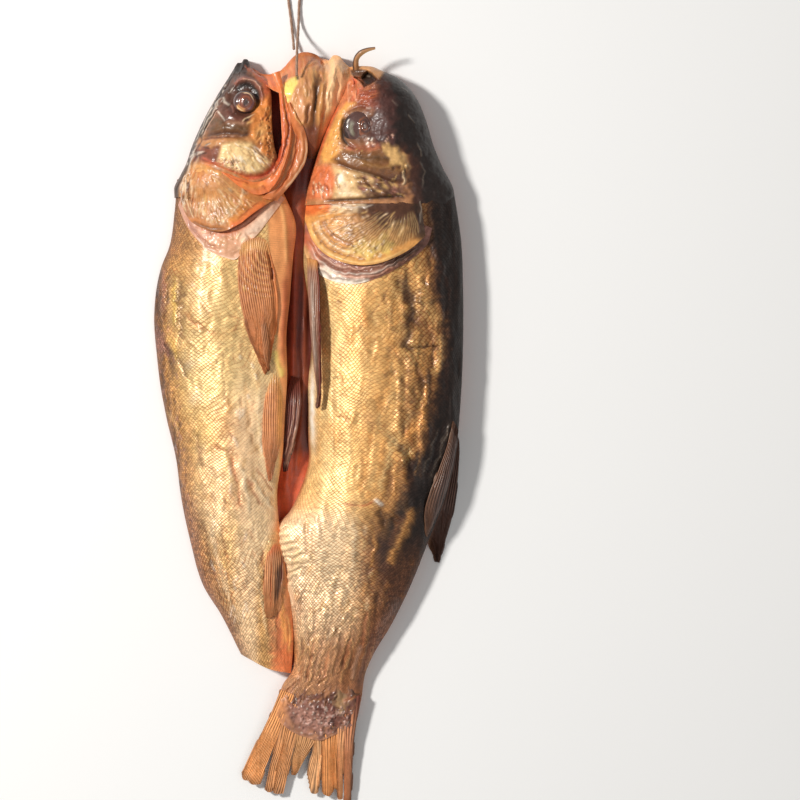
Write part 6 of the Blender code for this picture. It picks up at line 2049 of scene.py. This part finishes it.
for k, (left_edge, right_edge, end, rays, shade) in enumerate(TAIL_STRIPS):
    name = f"tail_strip_{k + 1}"
    strip = fin(name, left_edge, right_edge, rays, [0.4 + 0.12 * (k % 2), 0.2, 0.1, 0.1],
                screen(*shade) * 1.08, screen(*shade) * 1.95, screen(*shade) * 0.24, rows=110,
                columns=14 + 8 * rays, least=TAIL_BED, crown=0.7 - 0.1 * (k % 3), far=end, amount=1.0,
                fork=0.45, seed=20 + k, height=0.55, soften=5)
    strip.tint(ease(0.14, 0.0, strip.s) * 0.5, BROWN)
    strip.tint(ease(0.9, 1.0, strip.t) * 0.4, UMBER)
    if k in (2, 3):
        strip.stroke([tuple(left_edge[2]), tuple(left_edge[3]), tuple(left_edge[4])], 0.8, lift=0.3,
                     colour=GREY * 0.7, amount=0.7)
    if k == 6:
        strip.tint(ease(0.6, 1.0, strip.s) * 0.8, UMBER)
        strip.tint(ease(0.3, 0.0, strip.t) * 0.8, MAROON)
    lies_under(settle(leaf(name, strip, 1.0), FIN_RAYS))

# %% Tail root
ROOT_NEAR = [(-19, -194), (-14, -191), (-4, -189), (8, -190), (20, -190), (32, -188), (40, -187)]
ROOT_FAR = [(-28.4, -217), (-20, -222), (-12, -228), (-2, -232), (9, -234.5), (18, -231), (27, -227),
            (36, -222)]
root = Skin([ROOT_NEAR[0], (-23.5, -205), ROOT_FAR[0]], [ROOT_NEAR[-1], (38.6, -204), ROOT_FAR[-1]], 92,
            132, near=ROOT_NEAR, far=ROOT_FAR, crowd=0.2, colour=screen(176, 128, 96))
root.lay([-1.5, 0.1, 0.3, -0.2], least=[6, 9, 10, 9.5], crown=0.9, soften=3)
root.patch([(-20, -208), (-8, -196), (4, -188), (26, -196), (38, -204), (38, -224), (20, -228),
            (8, -234), (-6, -230), (-18, -220)], colour=screen(112, 74, 66), amount=0.9, edge=8, ragged=6)
root.patch([(10, -196), (26, -204), (36, -212), (32, -224), (18, -222), (8, -210)],
           colour=screen(96, 46, 34), amount=0.7, edge=8, ragged=6)
root.patch([(30, -186), (42, -186), (40, -206), (32, -204)], colour=BLACK, amount=0.75, edge=3)
root.patch([(20, -192), (28, -200), (28, -216), (22, -216), (20, -204)], colour=screen(190, 160, 110),
           amount=0.5, edge=3, ragged=3)
root.patch([(-16, -212), (0, -206), (16, -218), (12, -230), (-4, -228)], colour=screen(176, 132, 118),
           amount=0.7, edge=4, ragged=5)
root.tint(ease(0.22, 0.04, root.s) * 0.85, screen(206, 142, 92))
root.z -= 1.2 * (ease(0.09, 0.0, root.s) + ease(0.91, 1.0, root.s))
root.tint(ease(0.22, 0.05, root.t + 0.06 * noise(root.x, root.y, 4, 125)), screen(158, 112, 80))
# The pale pink and silver creases on the dark patch are painted glints on its wrinkles.
DARK_PATCH_WITH_GLINTS = [(-17, -208), (-4, -200), (16, -204), (34, -212), (34, -224), (18, -229), (8, -233), (-6, -229)]
root.creases(DARK_PATCH_WITH_GLINTS, 170, 3.6, 70, 0.7, 0.45, (screen(214, 180, 170), UMBER, MAUVE, DARK), 0.6, 340,
             spread=55, gloss=0.85)
root.creases(DARK_PATCH_WITH_GLINTS, 60, 1.8, 20, 0.5, 0.35, (SILVER, screen(86, 50, 44)), 0.6, 341, spread=70, gloss=0.9)
root.creases([(-18, -196), (34, -190), (36, -206), (-20, -206)], 50, 7, 58, 0.7, 0.5, (TAN, UMBER, BROWN), 0.5,
             342, spread=16)
for k in range(9):
    x = -8 + 3.2 * k
    root.stroke([(x - 8, -206 + k), (x - 2, -199 + k), (x + 4, -190 + k)], 0.7, lift=-0.7, colour=UMBER,
                amount=0.6, wobble=1)
root.rough(2.6, 0.5, 121, stretch=1.8)
root.rough(1.1, 0.22, 122, stretch=2)
root.tone *= 1.12
root.mottle(2.4, 0.3, 123)
tail_root = settle(leaf("tail_root", root, 1.4), BARE_SKIN)

# %% Upturned lip of the right jaw
lip = Skin([(34.6, 268, 17), (34.4, 274, 22), (35.6, 278.6, 25.5), (39, 282.4, 28), (44.5, 284.3, 29),
            (50.5, 285, 29.3)],
           [(38.4, 268, 17), (37.2, 273.6, 22), (37.6, 277, 25), (40.4, 280.2, 27.4), (45, 282.9, 28.8),
            (50.5, 284.6, 29.3)], 90, 30, crowd=0.3, colour=screen(176, 132, 92))
lip.arch([18, 23, 26, 28.6, 29.4, 29.4], fullness=0.8)
# Painted light and shade: the lip is painted dark on its left side for shade and pale on its right side for a
# highlight.
lip.tint(ease(0.45, 0.1, lip.s) * 0.95, screen(60, 44, 42))
lip.tint(ease(0.6, 0.9, lip.s) * ease(0.2, 0.5, lip.t) * 0.7, screen(232, 196, 140))
lip.mottle(1.5, 0.15, 124)
settle(leaf("lip_curl", lip, 0.9), BARE_SKIN)

# %% [markdown]
# ## Floor and light
#
# A plain pale floor and soft studio light. The key light comes from the left and from the heads' side,
# low enough to leave the fold in shade and to pick out the scales.

# %% Floor
FLOOR_SIZE = 9000.0
bpy.ops.object.select_all(action="DESELECT")
bpy.ops.mesh.primitive_plane_add(size=FLOOR_SIZE * MM, location=(0, 0, -0.05 * MM))
floor = bpy.context.object
floor.name = "floor"
floor_paint = bpy.data.materials.new("floor_paint")
floor_paint.use_nodes = True
floor_paint.node_tree.nodes["Principled BSDF"].inputs["Base Color"].default_value = (0.9, 0.9, 0.9, 1)
floor_paint.node_tree.nodes["Principled BSDF"].inputs["Roughness"].default_value = 0.9
floor.data.materials.append(floor_paint)


# %% Lights
def add_area(name, towards, distance, size, watts, tint=(1, 1, 1)):
    """An area light in the given direction from the fish, turned towards it."""
    way = Vector(towards).normalized()
    target = Vector((-0.01, 0.0, 0.02))
    bpy.ops.object.light_add(type="AREA", location=target + way * distance)
    light = bpy.context.object
    light.name = name
    light.rotation_mode = "QUATERNION"
    light.rotation_quaternion = way.to_track_quat("Z", "Y")
    light.data.shape = "DISK"
    light.data.size = size
    light.data.energy = watts
    light.data.color = tint
    return light


add_area("key", (-0.78, 0.36, 0.9), 2.2, 0.30, 49.0, (1.0, 0.975, 0.93))
add_area("fill", (0.35, -0.4, 1.0), 2.6, 1.8, 9.0, (1.0, 0.97, 0.93))
world = bpy.data.worlds.new("studio")
world.use_nodes = True
world.node_tree.nodes["Background"].inputs["Color"].default_value = (1, 1, 1, 1)
world.node_tree.nodes["Background"].inputs["Strength"].default_value = 0.27
bpy.context.scene.world = world
bpy.context.scene.view_settings.view_transform = "Standard"
